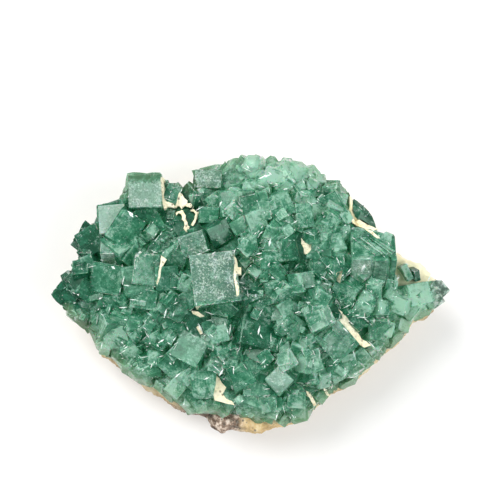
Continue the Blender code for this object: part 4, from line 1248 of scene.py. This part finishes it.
def matrix_material(name, seam=False):
    """Cream clay above and tan rock below, pitted and grainy, and brown at the bottom lump."""
    n = Nodes(name)
    broad = n.noise(110, 4.0, 0.6, 0.5)
    middle = n.noise(420, 5.0, 0.6)
    grain = n.noise(3200, 3.0, 0.7)
    pits = n.cells(900)
    shade = n.plus(broad, n.swing(middle, 0.5))
    cream = n.ramp(n.plus(shade, 0.12 if seam else 0.05), (
        (0.18, (0.42, 0.28, 0.12)),
        (0.27, (0.74, 0.58, 0.30)),
        (0.38, (0.97, 0.87, 0.56)),
        (0.66, (1.00, 0.95, 0.74)),
    ))
    tan = n.ramp(shade, (
        (0.24, (0.16, 0.09, 0.04)),
        (0.40, (0.40, 0.27, 0.13)),
        (0.55, (0.62, 0.48, 0.27)),
        (0.72, (0.80, 0.72, 0.52)),
    ))
    x, y, z = n.split(n.place)
    wander = n.swing(middle, 0.004)
    colour = n.mix(n.between(n.plus(z, wander), 0.0086, 0.0102), tan, cream)
    lump = n.between(n.plus(y, wander), -0.0205, -0.0222)
    left = n.between(n.plus(x, wander), -0.0005, -0.0030)
    golden = n.ramp(middle, ((0.3, (0.36, 0.22, 0.08)), (0.5, (0.66, 0.46, 0.20)), (0.7, (0.90, 0.80, 0.56))))
    brown = n.ramp(n.noise(700, 4.0, 0.7), (
        (0.38, (0.030, 0.018, 0.012)),
        (0.50, (0.20, 0.11, 0.07)),
        (0.58, (0.66, 0.52, 0.42)),
        (0.70, (0.95, 0.86, 0.80)),
    ))
    colour = n.mix(lump, colour, n.mix(left, golden, brown))
    tip = n.between(x, 0.0255, 0.0275)
    often = n.plus(n.times(tip, 0.05), n.times(lump, 0.10))
    often = n.plus(often, 0.10 if seam else 0.0)
    dark = n.between(n.math("SUBTRACT", pits, often), 0.02, 0.20, 1.0, 0.0)
    dark = n.times(dark, n.between(n.plus(middle, often), 0.48, 0.62))
    colour = n.mix(dark, colour, (0.13, 0.10, 0.07))
    colour = n.mix(n.between(grain, 0.3, 0.8, 0.0, 0.25), colour, (0.98, 0.94, 0.78))
    # Partly the clay's own yellower cream, partly painted light: the upper clay of the tip is made brighter
    # where the big block shades it.
    colour = n.mix(n.times(tip, n.between(z, 0.0090, 0.0110, 0.0, 0.5)), colour, (1.00, 0.92, 0.58))
    n.put(n.shader.inputs["Base Color"], colour)
    n.put(n.shader.inputs["Roughness"], n.between(middle, 0.3, 0.7, 0.75, 0.95))
    n.shader.inputs["Specular IOR Level"].default_value = 0.35
    soft = n.bump(middle, 0.6, 0.0005)
    n.put(n.shader.inputs["Normal"], n.bump(grain, 0.6, 0.00022, soft))
    return n.material


def glint_and_break_material(name):
    """White, sugary fluorite where edges are broken, and painted glints."""
    n = Nodes(name)
    sugar = n.noise(2400, 3.0, 0.6)
    n.put(n.shader.inputs["Base Color"], n.ramp(sugar, (
        (0.34, (0.40, 0.66, 0.54)),
        (0.46, (0.84, 0.95, 0.90)),
        (0.56, (1.00, 1.00, 0.98)),
    )))
    n.put(n.shader.inputs["Roughness"], n.between(sugar, 0.3, 0.7, 0.25, 0.5))
    n.put(n.shader.inputs["Normal"], n.bump(sugar, 0.4, 0.00008))
    return n.material


def plain_material(name, colour, roughness):
    """One colour, very slightly mottled."""
    n = Nodes(name)
    tint = n.mix(n.noise(30, 2.0), colour, tuple(c * 0.985 for c in colour))
    n.put(n.shader.inputs["Base Color"], tint)
    n.shader.inputs["Roughness"].default_value = roughness
    n.shader.inputs["Specular IOR Level"].default_value = 0.2
    return n.material


# Pieces


def build_crust(material, ground):
    """The crust of crystals in fine detail, fitted on the matrix."""
    dice = random.Random(DETAIL_SEED)
    crystals = main_crystals()
    for crystal in list(crystals):
        crystals.extend(grown_parts(crystal, dice))
    crust = bed_object()
    add_all(crust, crystals, 1, dice)
    growths = ridges_of(crystals[BLOCK])
    for *row, worn in EXTRAS:
        x, y = seen_at(row[0], row[1], row[7])
        growths.append(on_bed(x, y, *row[2:]))
        growths[-1].worn = worn
    add_all(crust, growths, 1 + len(crystals), dice)
    crystals += growths
    combine(crust, rim_object(), "INTERSECT")
    seams = seam_tops(crust)
    for outline, _ in PLACED_CLAY:
        cut_prism(crust, outline, SEAM_FOOT)
    extra = small_crystals(crust, dice)
    add_all(crust, extra, 1 + len(crystals), dice)
    crystals += extra
    # Slivers of broken edges that also stand in as painted glints, as a piece of their own.
    breaks = slivers_object("painted_glints_and_breaks", glints(crust, dice))
    cut_by_ground(crust, ground)
    for outline in BARE_GROUND:
        cut_prism(crust, outline, 0.0)
    keep_outer_shell(crust)
    paint_faces(crust, crystals)
    crust.name = "fluorite_crust"
    finish_piece(crust, material, "fluorite_crystals")
    finish_piece(breaks, glint_and_break_material("white_breaks_and_glints"), "fluorite_crystals")
    return seams


def seam_tops(crust):
    """Each seam's outline with the height of its top at each point, from the crystals round it."""
    tree = surface_of(crust)
    found = []
    for outline, below in PLACED_CLAY:
        middle = sum((Vector(point) for point in outline), Vector((0, 0))) / len(outline)
        heights = []
        for point in outline:
            out = Vector(point) + (Vector(point) - middle).normalized() * 0.5
            spot, _, _ = drop(tree, out.x, out.y)
            heights.append(spot.z / MM if spot else 14.0)
        usual = sorted(heights)[len(heights) // 2]
        found.append((outline, [usual * 0.6 + min(height, usual + 1.0) * 0.4 - below for height in heights]))
    return found


def build_seams(seams, material):
    """The clay between crystals: crooked shards, as high as the crystals beside them."""
    dice = random.Random(DETAIL_SEED + 7)
    work = bmesh.new()
    for outline, heights in seams:
        places = []
        corners = [Vector((*point, height)) for point, height in zip(outline, heights)]
        for first, second in zip(corners, corners[1:] + corners[:1]):
            count = max(1, round((second - first).length / SEAM_PIECE))
            for i in range(count):
                shake = Vector((dice.uniform(-1, 1), dice.uniform(-1, 1), dice.uniform(-2, 2)))
                places.append(first.lerp(second, i / count) + shake * SEAM_SHAKE)
        bottom = ring_of(work, [(place.x, place.y) for place in places], SEAM_FOOT)
        close_rings(work, bottom, [work.verts.new(place * MM) for place in places])
    bmesh.ops.triangulate(work, faces=work.faces)
    upper = [edge for edge in work.edges if all(vert.co.z > (SEAM_FOOT + 0.5) * MM for vert in edge.verts)]
    bmesh.ops.subdivide_edges(work, edges=upper, cuts=2, use_grid_fill=True)
    bmesh.ops.triangulate(work, faces=work.faces)
    for vert in work.verts:
        if vert.co.z > (SEAM_FOOT + 0.5) * MM:
            vert.co.z += noise.noise(vert.co / MM * 2.3) * SEAM_WAVE * MM
    made = to_object("clay_seams", work)
    finish_piece(made, material, "matrix")


def build_edge_crystal(material, ground):
    """The dark crystal beyond the seam, smooth, with a low peak and a thin bright crack."""
    work = bmesh.new()
    bottom = ring_of(work, PLACED_EDGE, EDGE_FOOT)
    top = [work.verts.new((x * MM, y * MM, z * MM)) for (x, y), z in zip(PLACED_EDGE, EDGE_TOPS)]
    peak = work.verts.new([value * MM for value in EDGE_PEAK])
    work.faces.new(list(reversed(bottom)))
    join_rings(work, bottom, top)
    for first, second in zip(top, top[1:] + top[:1]):
        work.faces.new((first, second, peak))
    made = to_object("dark_edge_crystal", work, 1, FRONT)
    dice = random.Random(DETAIL_SEED + 3)
    body = Crystal(Vector(EDGE_PEAK), (9, 9, 9), turning(0, 0, 0), 0.0, 0.12)
    looks = [body]
    tree = surface_of(made)
    for x, y, way, length, wide in EDGE_CRACK:
        spot, normal, _ = drop(tree, x, y)
        turn = Vector(normal).to_track_quat("Z", "Y").to_matrix().to_4x4()
        turn = turn @ Matrix.Rotation(math.radians(way), 4, "Z")
        looks.append(Crystal(spot / MM - Vector(normal) * 0.08, (wide, length, 0.3), turn, BRIGHT, 1.0, 0.2))
        combine(made, boxes_object("crack", looks[-1:], [len(looks)], dice), "UNION")
    cut_by_ground(made, ground)
    keep_outer_shell(made)
    paint_faces(made, looks)
    finish_piece(made, material, "edge_crystal")


def build_single(name, node, row, tone, material, number, ground):
    """A crystal that stands apart, set in the clay."""
    place, size, spin, lean, side = row
    dice = random.Random(DETAIL_SEED + number)
    turn = turning(spin, lean, side)
    face = Vector(place)
    crystal = Crystal(face - turn @ Vector((0, 0, size[2] / 2)), size, turn, 0.12, tone)
    made = boxes_object(name, [crystal], [1], dice)
    cut_by_ground(made, ground)
    keep_outer_shell(made)
    paint_faces(made, [crystal])
    made.name = name
    finish_piece(made, material, node)


def refine(target, voxel):
    """The object's shape in an even fine mesh."""
    step = target.modifiers.new("fine", "REMESH")
    step.mode = "VOXEL"
    step.voxel_size = voxel * MM
    keep_result(target)


def roughen(target, waves, flat_below):
    """Moves the surface in and out by waves of noise, less so near the flat that it rests on."""
    work = bmesh.new()
    work.from_mesh(target.data)
    work.normal_update()
    moves = []
    for vert in work.verts:
        place = vert.co / MM
        rise = sum(noise.noise(place * often + Vector((7, 3, 1)) * often) * high for often, high in waves)
        share = min(1.0, max(0.0, (place.z - flat_below) / 1.2))
        moves.append(vert.normal * (rise - 0.05) * share * MM)
    for vert, move in zip(work.verts, moves):
        vert.co += move
    for face in work.faces:
        face.smooth = True
    work.to_mesh(target.data)
    work.free()


def build_matrix(material, made):
    """The matrix remeshed finely and roughened."""
    made.name = "clay_matrix"
    refine(made, 0.42)
    roughen(made, ((0.35, 0.4), (0.95, 0.3), (2.0, 0.18)), 0.3)
    finish_piece(made, material, "matrix")


def finish_piece(piece, material, node):
    piece.data.materials.clear()
    piece.data.materials.append(material)
    for face in piece.data.polygons:
        face.material_index = 0
    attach(piece, "root")
    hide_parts(node)


def add_lamp(name, place, size, energy, colour):
    data = bpy.data.lights.new(name, "AREA")
    data.shape = "DISK"
    data.size = size
    data.energy = energy
    data.color = colour
    lamp = new_object(name, data)
    lamp.location = place
    lamp.rotation_euler = (Vector(LAMP_AIM) - Vector(place)).to_track_quat("-Z", "Y").to_euler()


def build_stage():
    """A plain pale floor, soft light from above and the camera looking down on the crystals."""
    bpy.ops.mesh.primitive_plane_add(size=3.0, location=(0, 0, 0))
    floor = bpy.context.object
    floor.name = "floor"
    floor.data.materials.append(plain_material("pale_floor", (0.93, 0.93, 0.93), 0.7))

    world = bpy.data.worlds.new("soft_room")
    world.use_nodes = True
    tree = world.node_tree
    way = tree.nodes.new("ShaderNodeTexCoord")
    parts = tree.nodes.new("ShaderNodeSeparateXYZ")
    tree.links.new(way.outputs["Generated"], parts.inputs[0])
    sky = tree.nodes.new("ShaderNodeValToRGB")
    for place, _ in WORLD_LEVELS[1:-1]:
        sky.color_ramp.elements.new(place)
    for element, (place, level) in zip(sky.color_ramp.elements, WORLD_LEVELS):
        element.position = place
        element.color = (level * 0.97, level * 0.99, level, 1.0)
    tree.links.new(parts.outputs["Z"], sky.inputs["Fac"])
    tree.links.new(sky.outputs["Color"], tree.nodes["Background"].inputs["Color"])
    tree.nodes["Background"].inputs["Strength"].default_value = 1.0
    bpy.context.scene.world = world

    for lamp in LAMPS:
        add_lamp(*lamp)

    data = bpy.data.cameras.new("camera")
    data.lens = 110.0
    data.clip_start, data.clip_end = 0.01, 10.0
    camera = new_object("camera", data)
    aim = Vector(CAMERA_AIM) * MM
    away = math.radians(CAMERA_ELEVATION)
    back = Vector((0.0, -math.cos(away), math.sin(away)))
    camera.location = aim + back * CAMERA_DISTANCE * MM
    camera.rotation_euler = (-back).to_track_quat("-Z", "Y").to_euler()
    bpy.context.scene.camera = camera


bpy.context.scene.view_settings.view_transform = "Standard"
build_stage()
fluorite = fluorite_material("green_fluorite_looks")
ground = matrix_without_seams()
seams = build_crust(fluorite, ground)
build_edge_crystal(fluorite, ground)
build_single("tip_prism", "tip_crystal", TIP_CRYSTAL, 1.0, fluorite, 33, ground)
build_single("tip_wedge", "tip_crystal", TIP_WEDGE, 0.0, fluorite, 35, ground)
clay = matrix_material("cream_clay_looks")
build_matrix(clay, ground)
build_seams(seams, matrix_material("seam_clay_looks", seam=True))
